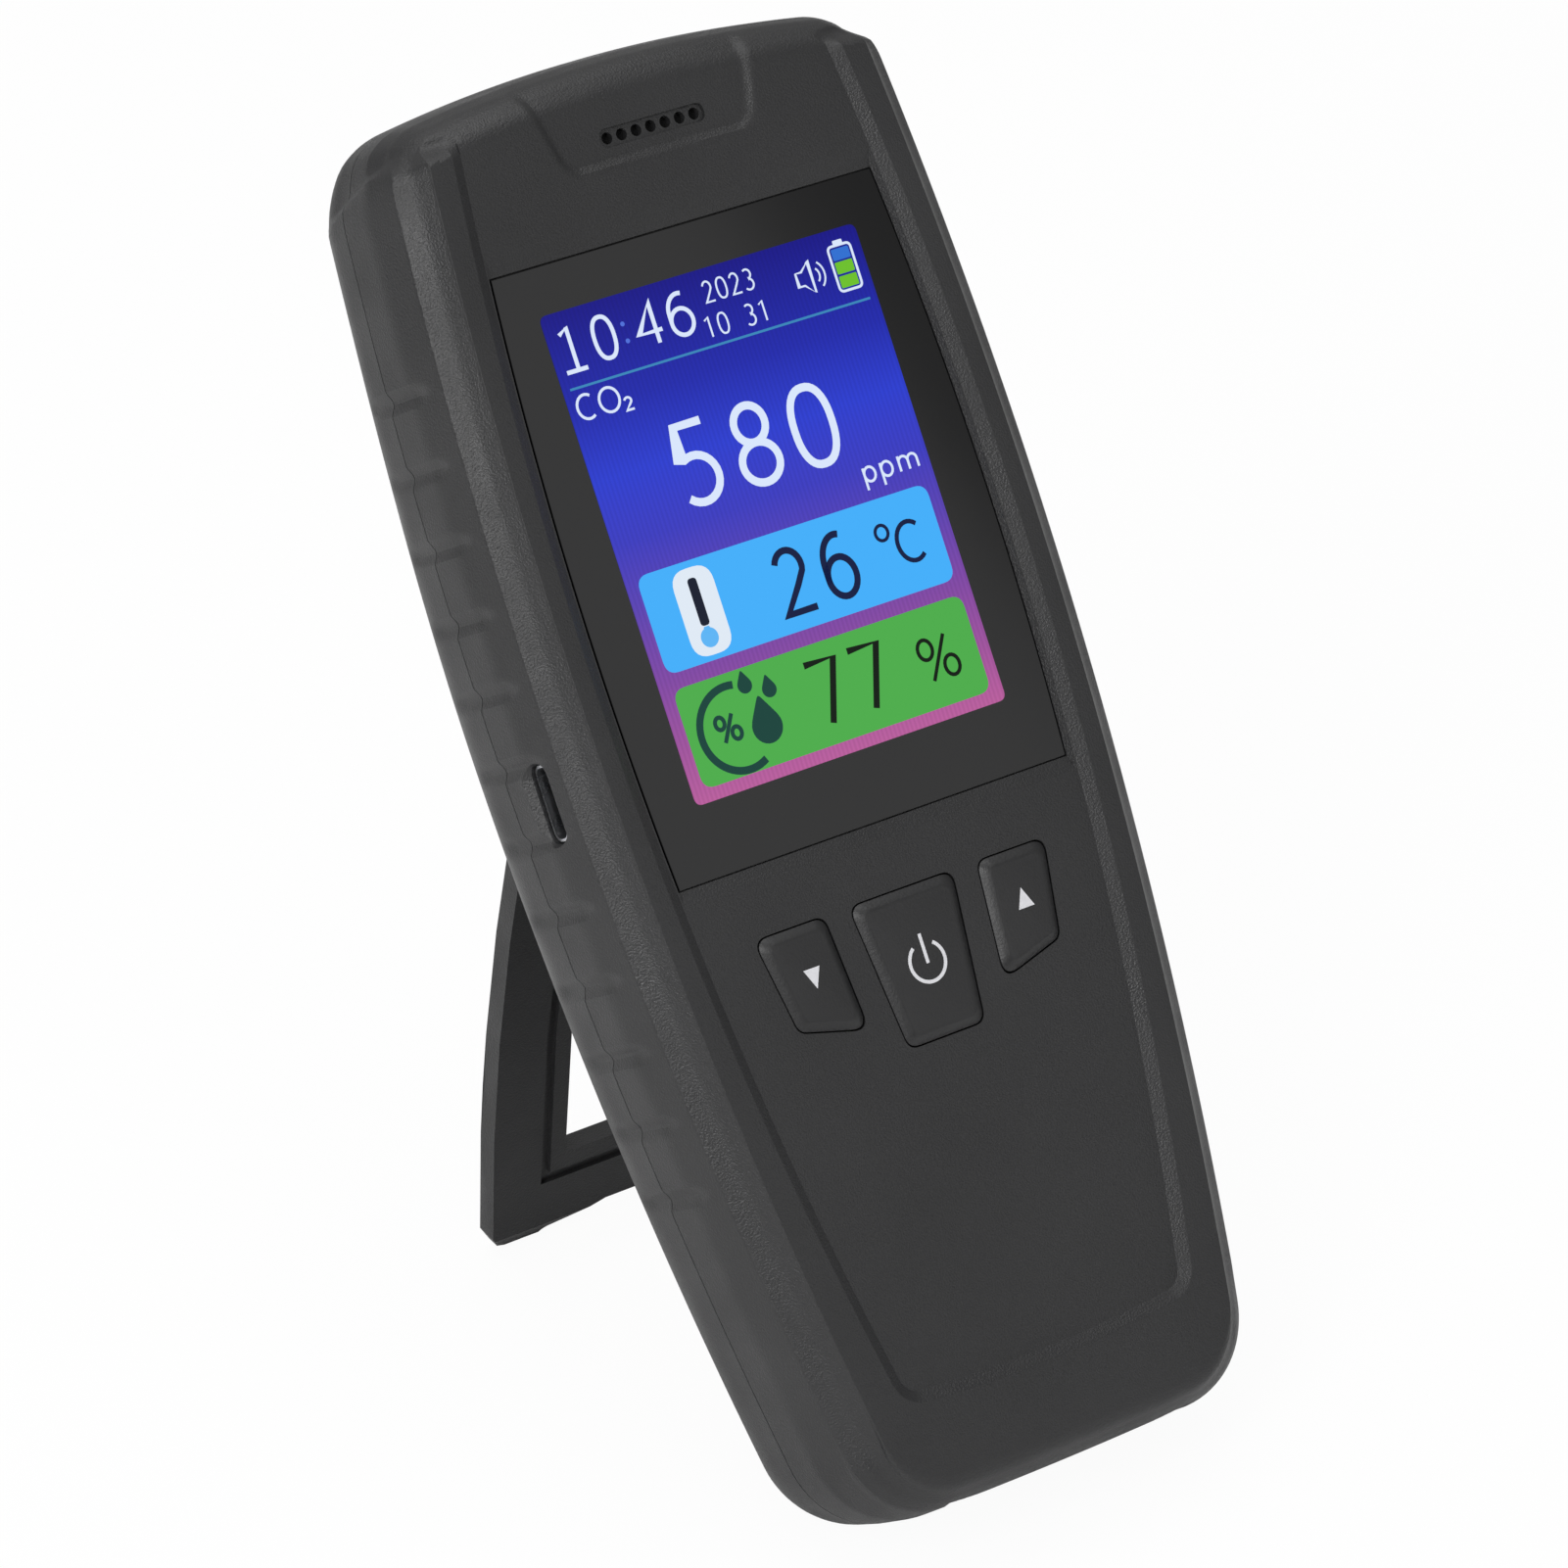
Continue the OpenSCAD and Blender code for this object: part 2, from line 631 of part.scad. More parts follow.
stem_r = 1.4;
plunger_r = 1.7;
plunger_t = 1.8;
plunger_y = 2.8;
bevel = 1;
module button_cap(points) {
    c = centre_of(points);
    gap = drawn_in(points, button_gap);
    hull() {
        leaf(rounded(drawn_in(gap, bevel), button_corner - 0.4), -button_rise);
        leaf(rounded(gap, button_corner), -face_rise);
        leaf(rounded(gap, button_corner), flange_y);
    }
    plate(rounded(drawn_in(points, -button_flange), button_corner), flange_y, flange_y + button_flange_t);
    bar(c[0], c[1], flange_y, plunger_y, stem_r);
}

module button_plunger(points) {
    c = centre_of(points);
    bar(c[0], c[1], plunger_y, plunger_y + plunger_t, plunger_r);
}

module down_button() color(plastic_dark) standing() button_cap(down_points);
module power_button() color(plastic_dark) standing() button_cap(power_points);
module up_button() color(plastic_dark) standing() button_cap(up_points);
module down_plunger() color("#d9d4c7") standing() button_plunger(down_points);
module power_plunger() color("#d9d4c7") standing() button_plunger(power_points);
module up_plunger() color("#d9d4c7") standing() button_plunger(up_points);

switch_w = 6;
switch_y = plunger_y + 0.9;
module tact_switches() color(steel) standing()
    for (points = [down_points, power_points, up_points])
        let (c = centre_of(points))
        difference() {
            block([c[0] - switch_w / 2, c[0] + switch_w / 2], [switch_y, board_y],
                [c[1] - switch_w / 2, c[1] + switch_w / 2]);
            bar(c[0], c[1], switch_y - cut, plunger_y + plunger_t + button_travel + 0.2, plunger_r + 0.08);
        }

// ---- Electronics -----------------------------------------------------------------------------

board_back_y = board_y + board_t;
board_half_w = body_w / 2 - 6.5;
board_bottom = -68;
board_top = body_top - 18.3;
usb_len = 7.3;
usb_x = -side_at(-usb_z, ridge_inset * 0.4) + 0.9;
// The board's tab that carries the socket, and how far the socket overhangs it.
usb_tab_h = 7.5;
usb_overhang = 1.6;
board_points = [
    [-board_half_w + 2, board_bottom], [board_half_w - 2, board_bottom], [board_half_w, board_bottom + 18],
    [board_half_w, board_top], [-board_half_w, board_top], [-board_half_w, -usb_z + usb_tab_h],
    [usb_x + usb_overhang, -usb_z + usb_tab_h], [usb_x + usb_overhang, -usb_z - usb_tab_h],
    [-board_half_w, -usb_z - usb_tab_h], [-board_half_w, board_bottom + 18]];

module main_pcb() color(board_green) standing() difference() {
    plate(board_points, board_y, board_back_y);
    for (p = board_screws_at) bar(p[0], p[1], board_y - cut, board_back_y + cut, board_screw_r + 0.15, 32);
}

// Chips on the front of the board: [x, z, width, height].
chip_t = 1;
chips = [[-14, -6, 7, 7], [8, -2, 9, 6], [16, 8, 5, 5], [-22, 8, 4, 6], [20, -22, 6, 4], [-8, 10, 4, 3]];
module pcb_chips() color("#1a1a1c") standing()
    for (c = chips)
        translate([c[0], 0, 0])
            plate(box_points(c[2] / 2, c[1] - c[3] / 2, c[1] + c[3] / 2), board_y - chip_t, board_y);

// Socket shell: a flat tube, 8.94 by 3.16 outside, closed at its rear end.
usb_shell_w = 8.94;
usb_shell_h = 3.16;
usb_shell_t = 0.3;
usb_back_t = 0.6;
usb_shell_r = 1.2;
function usb_ring(inset) = rounded(
    slot_points(board_y - usb_shell_h / 2, usb_shell_h / 2 - inset, -usb_z, usb_shell_w / 2 - inset),
    usb_shell_r - inset, 6);
module usb_port() color(steel) standing() difference() {
    side_plate(usb_ring(0), usb_x, usb_x + usb_len);
    side_plate(usb_ring(usb_shell_t), usb_x - cut, usb_x + usb_len - usb_back_t);
}

tongue_t = 0.7;
tongue_w = 6.7;
tongue_back = 1;
module usb_tongue() color("#141414") standing()
    side_plate(slot_points(board_y - usb_shell_h / 2, tongue_t / 2, -usb_z, tongue_w / 2),
        usb_x + tongue_back, usb_x + usb_len - usb_back_t);

cell_z = -38;
tape_t = 0.5;
cell_y = board_back_y + tape_t;
module battery_cell() color("#c9ccd1") standing()
    plate(rounded(box_points(cell_w / 2, cell_z - cell_h / 2, cell_z + cell_h / 2), 2),
        cell_y, cell_y + cell_t);

tape_w = 10;
tape_h = 40;
module battery_foam_tape() color("#262626") standing()
    for (s = [-1, 1]) translate([s * cell_w / 4, 0, 0])
        plate(box_points(tape_w / 2, cell_z - tape_h / 2, cell_z + tape_h / 2), board_back_y, cell_y);

plug_x = 24;
plug_z = -18;
module battery_connector() color("#ece7da") standing()
    block([plug_x - 2.5, plug_x + 2.5], [board_back_y, board_back_y + 4], [plug_z - 4, plug_z + 4]);

// A lead: a round wire from the cell's top tab up and across to the plug's end.
lead_r = 0.5;
module lead(y, x_end) {
    z_run = cell_z + cell_h / 2 + 2 + (y - cell_y - 1) * 0.8;
    start_x = 8 - (y - cell_y - 1);
    translate([start_x, y, cell_z + cell_h / 2])
        cylinder(h = z_run - cell_z - cell_h / 2 + lead_r, r = lead_r, $fn = 16);
    translate([start_x, y, z_run]) rotate([0, 90, 0])
        cylinder(h = x_end - start_x + lead_r, r = lead_r, $fn = 16);
    translate([x_end, y, plug_z + 4]) cylinder(h = z_run - plug_z - 4 + lead_r, r = lead_r, $fn = 16);
}
module battery_lead_red() color("#c02020") standing() lead(board_back_y + 1.2, plug_x + 1);
module battery_lead_black() color("#151515") standing() lead(board_back_y + 2.8, plug_x - 1);

sensor_w = 33;
sensor_h = 19;
sensor_z = 22;
sensor_t = 7.4;
sensor_back_y = board_back_y + 1 + sensor_t;
module co2_sensor_board() color("#17452a") standing()
    plate(box_points(sensor_w / 2, sensor_z - sensor_h / 2, sensor_z + sensor_h / 2),
        board_back_y, board_back_y + 1);

module co2_sensor_housing() color("#c8a24a") standing() difference() {
    plate(rounded(box_points(sensor_w / 2 - 1.5, sensor_z - sensor_h / 2 + 1,
        sensor_z + sensor_h / 2 - 1), 2), board_back_y + 1, sensor_back_y);
    for (x = [-8, 0, 8]) bar(x, sensor_z, sensor_back_y - 1.2, sensor_back_y + cut, 2.5);
}

module co2_sensor_filter() color("#f1f1ee") standing()
    block([-12, 12], [sensor_back_y, sensor_back_y + 0.4], [sensor_z - 4, sensor_z + 4]);

module temp_humidity_sensor() color("#202326") standing() difference() {
    block([-1.5, 1.5], [board_y - 1, board_y], [board_top - 2.8, board_top]);
    bar(0, board_top - 1.4, board_y - 1 - cut, board_y - 0.6, 0.7, 24);
}

module buzzer() color("#141414") standing() difference() {
    bar(-20, -26, board_y - 3, board_y, 4.5);
    bar(-20, -26, board_y - 3 - cut, board_y - 2, 0.9, 24);
}

// ---- Kickstand and fasteners -----------------------------------------------------------------

stand_end_flat = 1.2;
rib_w = 2.2;
groove_w = 1.3;
groove_t = 0.6;

function hung(points) = [for (p = points) [p[0], -p[1]]];
// The opening's outline, let out by w.
function stand_band(w) =
    hung(both_sides(stand_run(stand_open_s[0] - w, stand_open_s[1] + w, stand_arm_w - w, 6)));

// The frame in its own axes: x across, y through the thickness with the back face at heel_back,
// z down to the foot as -s.
module stand_frame() difference() {
    plate(hung(stand_outer(0)), -heel_front, heel_back);
    plate(hung(stand_inner(0)), -heel_front - cut, heel_back + cut);
    // rounded front edge of the lower bar
    side_plate([[-heel_front - cut, -stand_len + 2.6], [-heel_front, -stand_len + 2.6],
        [heel_back - stand_end_flat, -stand_len], [heel_back - stand_end_flat, -stand_len - cut],
        [-heel_front - cut, -stand_len - cut]], -40, 40);
    // arch between the two feet
    plate(rounded([
        [-21, -stand_len - 9], [21, -stand_len - 9], [19.5, -stand_len + stand_arch - 1.9],
        [11, -stand_len + stand_arch], [-11, -stand_len + stand_arch], [-19.5, -stand_len + stand_arch - 1.9]
    ], 1.2), -heel_front - cut, heel_back + cut);
    // groove beside the rib that runs round the opening
    difference() {
        plate(stand_band(rib_w + groove_w), -heel_front - cut, -heel_front + groove_t);
        plate(stand_band(rib_w), -heel_front - 2 * cut, -heel_front + 2 * cut);
    }
    // round the heel so that it clears the pocket as it turns
    side_plate([[heel_back - 0.8, heel + cut], [heel_back + cut, heel + cut], [heel_back + cut, heel - 2.4],
        [heel_back, heel - 2.4]], -40, 40);
    for (s = [-1, 1]) translate([s * 18, 0, 0]) rotate([0, 90, 0])
        cylinder(h = 7, r = pin_r + pin_clear, center = true, $fn = 32);
}

module kickstand() color(plastic_dark) standing_on_floor()
    translate([0, pivot_y, pivot_z]) rotate([stand_angle, 0, 0]) stand_frame();

module kickstand_pivot_pins() color(steel) standing()
    for (s = [-1, 1]) translate([s * (pin_in + pin_out) / 2, pivot_y, pivot_z]) rotate([0, 90, 0])
        cylinder(h = pin_out - pin_in, r = pin_r, center = true, $fn = 32);

module screw(x, z, seat, reach, shank, head, head_t) difference() {
    union() {
        bar(x, z, seat - reach, seat, shank, 32);
        bar(x, z, seat, seat + head_t, head, 32);
    }
    for (a = [0, 90]) translate([x, seat + head_t, z]) rotate([0, a, 0]) cube([2.6, 1.4, 0.6], center = true);
}

// How deep the screws run into their bosses, and how much thinner they are than the holes.
screw_bite = 7;
board_screw_bite = 4;
screw_ease = 0.02;
board_screw_head_r = 1.9;
board_screw_head_t = 1.2;
module housing_screws() color("#2f2f31") standing()
    for (p = housing_screws_at)
        screw(p[0], p[1], screw_seat_y, screw_seat_y - boss_end_y + screw_bite, screw_r - screw_ease,
            screw_head_r, screw_head_t);

module pcb_screws() color(steel) standing()
    for (p = board_screws_at)
        screw(p[0], p[1], board_back_y, board_t + board_screw_bite, board_screw_r - screw_ease,
            board_screw_head_r, board_screw_head_t);

front_shell();
rear_shell();
screen_lens();
lens_adhesive();
lcd_panel();
lcd_backlight_frame();
lcd_flex();
fpc_connector();
vent_dust_mesh();
down_button();
power_button();
up_button();
down_plunger();
power_plunger();
up_plunger();
tact_switches();
main_pcb();
pcb_chips();
usb_port();
usb_tongue();
battery_cell();
battery_foam_tape();
battery_connector();
battery_lead_red();
battery_lead_black();
co2_sensor_board();
co2_sensor_housing();
co2_sensor_filter();
temp_humidity_sensor();
buzzer();
kickstand();
kickstand_pivot_pins();
housing_screws();
pcb_screws();
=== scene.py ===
import json
import math

import bmesh
import bpy
import numpy as np
from mathutils import Matrix, Vector


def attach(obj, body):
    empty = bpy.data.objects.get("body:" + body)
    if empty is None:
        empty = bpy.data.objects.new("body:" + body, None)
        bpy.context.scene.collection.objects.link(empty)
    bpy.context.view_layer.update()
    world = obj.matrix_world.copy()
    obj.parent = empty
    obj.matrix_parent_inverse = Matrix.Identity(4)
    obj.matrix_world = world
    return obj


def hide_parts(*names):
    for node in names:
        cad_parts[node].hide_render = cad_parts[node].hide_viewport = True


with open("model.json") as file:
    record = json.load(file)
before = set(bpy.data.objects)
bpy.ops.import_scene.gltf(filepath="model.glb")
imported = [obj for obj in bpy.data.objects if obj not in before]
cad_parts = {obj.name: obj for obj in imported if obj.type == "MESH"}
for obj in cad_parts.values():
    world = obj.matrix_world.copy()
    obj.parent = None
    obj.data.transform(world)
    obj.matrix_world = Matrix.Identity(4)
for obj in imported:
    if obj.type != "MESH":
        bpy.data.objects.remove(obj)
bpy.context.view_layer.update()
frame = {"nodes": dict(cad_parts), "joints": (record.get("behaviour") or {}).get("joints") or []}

# Looks of a hand-held carbon dioxide monitor that stands on its rear kickstand. Shapes are laid out
# in millimetres in the instrument's own axes, as in the CAD: x across, y from the face to the back,
# z up along the body, with the origin at the centre of the display. standing() leans them back
# into the shared frame, in metres.

MM = 0.001
PIVOT_Y, PIVOT_Z = 23.4, -6.6
joints = {joint["name"]: joint for joint in frame["joints"]}
LEAN_COS = joints["power_press"]["axis"][1]
LEAN_SIN = -joints["power_press"]["axis"][2]
LEAN = np.array([[1, 0, 0], [0, LEAN_COS, LEAN_SIN], [0, -LEAN_SIN, LEAN_COS]])
SHIFT = np.array(joints["kickstand_hinge"]["pos_m"]) / MM - LEAN @ (0, PIVOT_Y, PIVOT_Z)


def standing(points):
    """The instrument's millimetres leaned back into the shared frame: turn about x, then shift."""
    return (np.asarray(points, float) @ LEAN.T + SHIFT) * MM


# ---- Camera ------------------------------------------------------------------------------------

CAMERA_PLACE = (-392.155, -674.818, 2.474)
CAMERA_RIGHT = (0.82174919, -0.48044812, -0.30642761)
CAMERA_DOWN = (-0.28621441, 0.11700459, -0.95099487)
CAMERA_AHEAD = (0.49275713, 0.86918326, -0.04136275)
LENS_MM = 157.4
SENSOR = 36


def make_camera():
    """A long lens in front of the face, to the left, rolled as the hand held it."""
    data = bpy.data.cameras.new("camera")
    data.sensor_width = SENSOR
    data.lens = LENS_MM
    data.clip_start, data.clip_end = 0.05, 20
    camera = bpy.data.objects.new("camera", data)
    bpy.context.scene.collection.objects.link(camera)
    axes = [LEAN @ CAMERA_RIGHT, -(LEAN @ CAMERA_DOWN), -(LEAN @ CAMERA_AHEAD)]
    turn = Matrix(np.array(axes).T.tolist()).to_4x4()
    camera.matrix_world = Matrix.Translation(Vector(standing([CAMERA_PLACE])[0])) @ turn
    bpy.context.scene.camera = camera


make_camera()

# ---- Sizes of the body, as in the CAD ----------------------------------------------------------

HALF_W, TOP, BOTTOM = 37.5, 56.3, -114.4
BACK_Y, SEAM_Y, WALL, REAR_ROUND = 25.0, 11.5, 1.8, 10.0
SEAM_GAP, LIP = 0.07, 1.1
WIDEST_Z = -8.0
SIDE_R, FACE_SIDE_R, CREST_R = 600.0, 455.0, 180.0
FOOT_R, FACE_BOTTOM_R = 700.0, 190.0
LOW_CORNER_R, HIGH_CORNER_R, LEAST_CORNER_R = 12.0, 11.0, 3.0
RIM_Y, FACE_Y, LENS_Y = -2.1, -1.25, -0.6
FACE_BACK_Y, TAPER = 0.8, 0.21
FACE_HALF_W = 28.6
LENS_TOP, LENS_BOTTOM = 34.3, -37.15
SLOPE_TOP, SLOPE_BOTTOM = 36.9, -39.15
LENS_INSET = 0.7
SEAT_FLOOR_Y, WINDOW_HALF_W, WINDOW_SHARE = 0.35, 25.3, 0.965

GROOVES, GROOVE_PITCH, GROOVE_TOP = 12, 8.66, 24.7
GROOVE_DEPTH, GROOVE_HALF = 0.6, 1.5
BAND_TOP, BAND_RISE = 47.4, 0.9
FOOT_GAP, FOOT_HOLLOW_R, FOOT_HOLLOW_TOP, FOOT_CLEAR = 17.2, 150.0, -113.95, 0.8


def smooth(low, high, value):
    """0 below low, 1 above high, and 3t^2 - 2t^3 between, where t is the share of the way."""
    t = np.clip((value - low) / (high - low), 0, 1)
    return t * t * (3 - 2 * t)


# ---- Mesh helpers ------------------------------------------------------------------------------


class Skin:
    """Points and faces gathered patch by patch, welded where the patches meet."""

    def __init__(self):
        self.points, self.faces, self.count = [], [], 0

    def add(self, points, faces):
        """Adds points with faces that index them, and returns the index of the first."""
        points = np.asarray(points, float).reshape(-1, 3)
        first = self.count
        self.points.append(points)
        self.faces.extend([[first + i for i in face] for face in faces])
        self.count += len(points)
        return first

    def grid(self, points, wrap_rows=False, wrap_columns=False):
        """Quads over a grid of points: face (i, j) joins rows i, i+1 and columns j, j+1."""
        rows, columns = points.shape[:2]
        i = np.arange(rows if wrap_rows else rows - 1)[:, None]
        j = np.arange(columns if wrap_columns else columns - 1)[None, :]
        i2, j2 = (i + 1) % rows, (j + 1) % columns
        corners = [i * columns + j, i * columns + j2, i2 * columns + j2, i2 * columns + j]
        quads = np.stack([np.broadcast_to(c, (i.size, j.size)) for c in corners], -1)
        self.add(points, quads.reshape(-1, 4).tolist())

    def polygon(self, points):
        """One flat face round a loop of points."""
        self.add(points, [list(range(len(points)))])

    def mirrored_cap(self, ring):
        """Rows straight across a ring that is mirrored in x and starts at its bottom point."""
        ring = np.asarray(ring, float)
        count, half = len(ring), len(ring) // 2
        faces = [[i, i + 1, (count - i - 1) % count, (count - i) % count] for i in range(1, half - 1)]
        self.add(ring, [[0, 1, count - 1], *faces, [half - 1, half, half + 1]])

    def rings(self, rings):
        """A closed solid: rings of equally many points joined in turn, with a flat face at each end."""
        rings = np.asarray(rings, float)
        self.grid(rings, wrap_columns=True)
        self.polygon(rings[0])
        self.polygon(rings[-1])


def loose_piece(name, skin, place=standing):
    """A mesh object from a skin, its doubles merged and its faces turned outwards."""
    mesh = bpy.data.meshes.new(name)
    mesh.from_pydata(place(np.concatenate(skin.points)).tolist(), [], skin.faces)
    tidy(mesh)
    piece = bpy.data.objects.new(name, mesh)
    bpy.context.scene.collection.objects.link(piece)
    return piece


def tidy(mesh, gap=2e-6):
    """Merges doubles, drops faces with no area and turns the rest outwards."""
    bm = bmesh.new()
    bm.from_mesh(mesh)
    bmesh.ops.remove_doubles(bm, verts=bm.verts, dist=gap)
    bmesh.ops.dissolve_degenerate(bm, edges=bm.edges, dist=gap / 2)
    bmesh.ops.recalc_face_normals(bm, faces=bm.faces)
    bm.to_mesh(mesh)
    bm.free()


def carve(piece, *cutters):
    """Cuts closed cutters out of a closed piece, one after another, and deletes them."""
    for cutter in cutters:
        step = piece.modifiers.new("cut", "BOOLEAN")
        step.operation, step.solver, step.object = "DIFFERENCE", "EXACT", cutter
    shaped = piece.evaluated_get(bpy.context.evaluated_depsgraph_get())
    mesh = bpy.data.meshes.new_from_object(shaped)
    piece.modifiers.clear()
    piece.data = mesh
    for cutter in cutters:
        bpy.data.objects.remove(cutter)


def dress(piece, body, material, slot, *nodes, sharp=18):
    """Gives a piece its material, its shading and its body, and hides the CAD nodes it stands for."""
    piece.data.materials.clear()
    piece.data.materials.append(material)
    piece.data.shade_smooth()
    piece.data.set_sharp_from_angle(angle=math.radians(sharp))
    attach(piece, body)
    if nodes:
        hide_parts(*nodes)
    return piece


def on_plane(outline, y):
    """Points in x and z, set at depth y."""
    outline = np.asarray(outline, float)
    return np.stack([outline[..., 0], np.full(outline.shape[:-1], float(y)), outline[..., 1]], -1)


def rounded(corners, radius, steps=6):
    """A polygon whose corners are quadratic curves that start and end where a circle of that
    radius would touch the sides."""
    corners = np.asarray(corners, float)
    radius = np.broadcast_to(radius, len(corners))[:, None]
    before, after = np.roll(corners, 1, 0) - corners, np.roll(corners, -1, 0) - corners
    before = before / np.linalg.norm(before, axis=1, keepdims=True)
    after = after / np.linalg.norm(after, axis=1, keepdims=True)
    half = np.arccos(np.clip((before * after).sum(1), -1, 1))[:, None] / 2
    reach = radius / np.tan(half)
    t = np.linspace(0, 1, steps + 1)[None, :, None]
    start, end, tip = corners + before * reach, corners + after * reach, corners
    curve = start[:, None] * (1 - t) ** 2 + 2 * tip[:, None] * t * (1 - t) + end[:, None] * t**2
    return curve.reshape(-1, 2)


def drawn_in(corners, gap):
    """A polygon, drawn anticlockwise, with every side moved in by gap: each new corner is where
    the moved sides meet."""
    corners = np.asarray(corners, float)
    along = np.roll(corners, -1, 0) - corners
    along = along / np.linalg.norm(along, axis=1, keepdims=True)
    inward = np.stack([-along[:, 1], along[:, 0]], 1)
    before_in, before_along = np.roll(inward, 1, 0), np.roll(along, 1, 0)
    cross = before_along[:, 0] * along[:, 1] - before_along[:, 1] * along[:, 0]
    difference = (inward - before_in) * gap
    share = (difference[:, 0] * along[:, 1] - difference[:, 1] * along[:, 0]) / cross
    return corners + before_in * gap + before_along * share[:, None]


def anticlockwise(corners):
    """The same polygon, turned to run anticlockwise, as the sign of its area says."""
    corners = np.asarray(corners, float)
    after = np.roll(corners, -1, 0)
    area = (corners[:, 0] * after[:, 1] - corners[:, 1] * after[:, 0]).sum()
    return corners if area > 0 else corners[::-1]


# ---- Outline of the body -----------------------------------------------------------------------

BOTTOM_POINTS, CORNER_POINTS, CREST_POINTS = 60, 18, 72
LOW_POINTS, MIDDLE_POINTS, HIGH_POINTS = 155, 190, 34


def fillet_centre(centre_z, radius, other_x, other_z, other_r, fillet):
    """Centre of a circle that touches two others from inside: it lies radius - fillet from
    (0, centre_z) and other_r - fillet from (other_x, other_z), on the +x side."""
    reach_a, reach_b = radius - fillet, other_r - fillet
    dx, dz = other_x, other_z - centre_z
    span = np.hypot(dx, dz)
    along = (reach_a**2 - reach_b**2 + span**2) / (2 * span)
    across = np.sqrt(np.maximum(reach_a**2 - along**2, 0))
    ux, uz = dx / span, dz / span
    side = np.where(-uz * across > uz * across, 1.0, -1.0)
    return ux * along - uz * across * side, centre_z + uz * along + ux * across * side


def body_rings(half_w, bottom, top, side_r, bottom_r, low_r, high_r):
    """Rings round the body, one for each row of values: a bottom arc, a corner, a long side arc, a
    corner and a crest arc, each touching the next, then the same mirrored in x. The side's points
    have the same heights in every ring between the two ends of the lens's slopes."""
    values = half_w, bottom, top, side_r, bottom_r, low_r, high_r
    half_w, bottom, top, side_r, bottom_r, low_r, high_r = (
        np.asarray(value, float)[:, None] for value in values)
    bottom_c, top_c, side_c = bottom + bottom_r, top - CREST_R, half_w - side_r
    low_x, low_z = fillet_centre(bottom_c, bottom_r, side_c, WIDEST_Z, side_r, low_r)
    high_x, high_z = fillet_centre(top_c, CREST_R, side_c, WIDEST_Z, side_r, high_r)
    turn_1 = np.arctan2(low_z - bottom_c, low_x)
    turn_2 = np.arctan2(low_z - WIDEST_Z, low_x - side_c)
    turn_3 = np.arctan2(high_z - WIDEST_Z, high_x - side_c)
    turn_4 = np.arctan2(high_z - top_c, high_x)

    def arc(x, z, radius, start, end, count, whole=False):
        angle = start + (end - start) * np.linspace(0, 1, count, endpoint=whole)[None]
        return np.stack([x + radius * np.cos(angle), z + radius * np.sin(angle)], -1)

    def run(low, high, count):
        z = low + (high - low) * np.linspace(0, 1, count, endpoint=False)[None]
        z = z + 0 * side_c
        return np.stack([side_c + np.sqrt(side_r**2 - (z - WIDEST_Z) ** 2), z], -1)

    half = np.concatenate([
        arc(0 * low_x, bottom_c, bottom_r, -np.pi / 2, turn_1, BOTTOM_POINTS),
        arc(low_x, low_z, low_r, turn_1, turn_2, CORNER_POINTS),
        run(WIDEST_Z + side_r * np.sin(turn_2), SLOPE_BOTTOM, LOW_POINTS),
        run(SLOPE_BOTTOM, SLOPE_TOP, MIDDLE_POINTS),
        run(SLOPE_TOP, WIDEST_Z + side_r * np.sin(turn_3), HIGH_POINTS),
        arc(high_x, high_z, high_r, turn_3, turn_4, CORNER_POINTS),
        arc(0 * high_x, top_c, CREST_R, turn_4, np.pi / 2, CREST_POINTS, whole=True),
    ], 1)
    return np.concatenate([half, half[:, -2:0:-1] * [-1, 1]], 1)


SLOPE_INDEX = BOTTOM_POINTS + CORNER_POINTS + LOW_POINTS + MIDDLE_POINTS


def profile(corners, radii, runs, turn=4):
    """Points (inset, y) along a polyline: each inner corner is a quadratic curve as wide as its
    radius asks, with runs[i] points on straight i and turn points on each curve."""
    corners = np.asarray(corners, float)
    points, last = [], corners[0]
    for k in range(1, len(corners) - 1):
        back, on = corners[k - 1] - corners[k], corners[k + 1] - corners[k]
        lengths = np.linalg.norm(back), np.linalg.norm(on)
        back, on = back / lengths[0], on / lengths[1]
        half = math.acos(np.clip(back @ on, -1, 1)) / 2
        reach = min(radii[k - 1] / math.tan(half), 0.45 * min(lengths)) if half < 1.5707 else 0.1
        start, end = corners[k] + back * reach, corners[k] + on * reach
        points.append(last + (start - last) * np.linspace(0, 1, runs[k - 1], endpoint=False)[:, None])
        t = np.linspace(0, 1, turn, endpoint=False)[:, None]
        points.append(start * (1 - t) ** 2 + 2 * corners[k] * t * (1 - t) + end * t**2)
        last = end
    points.append(last + (corners[-1] - last) * np.linspace(0, 1, runs[-1] + 1)[:, None])
    return np.concatenate(points)


def grooves(x, y, z, normal_x):
    """Depth of the grip grooves: (1 - (dz / half)^2)^2 about each groove's centre, on the sides,
    fading out towards the ridge and towards the back."""
    nearest = np.clip(np.round((GROOVE_TOP - z) / GROOVE_PITCH), 0, GROOVES - 1)
    along = smooth(2.8, 6.6, y) * (1 - smooth(15.0, 18.0, y))
    half = GROOVE_HALF * (0.45 + 0.55 * smooth(2.8, 6.0, y))
    off = np.clip((z - (GROOVE_TOP - nearest * GROOVE_PITCH)) / half, -1, 1)
    return GROOVE_DEPTH * (1 - off**2) ** 2 * along * (np.abs(normal_x) > 0.8)


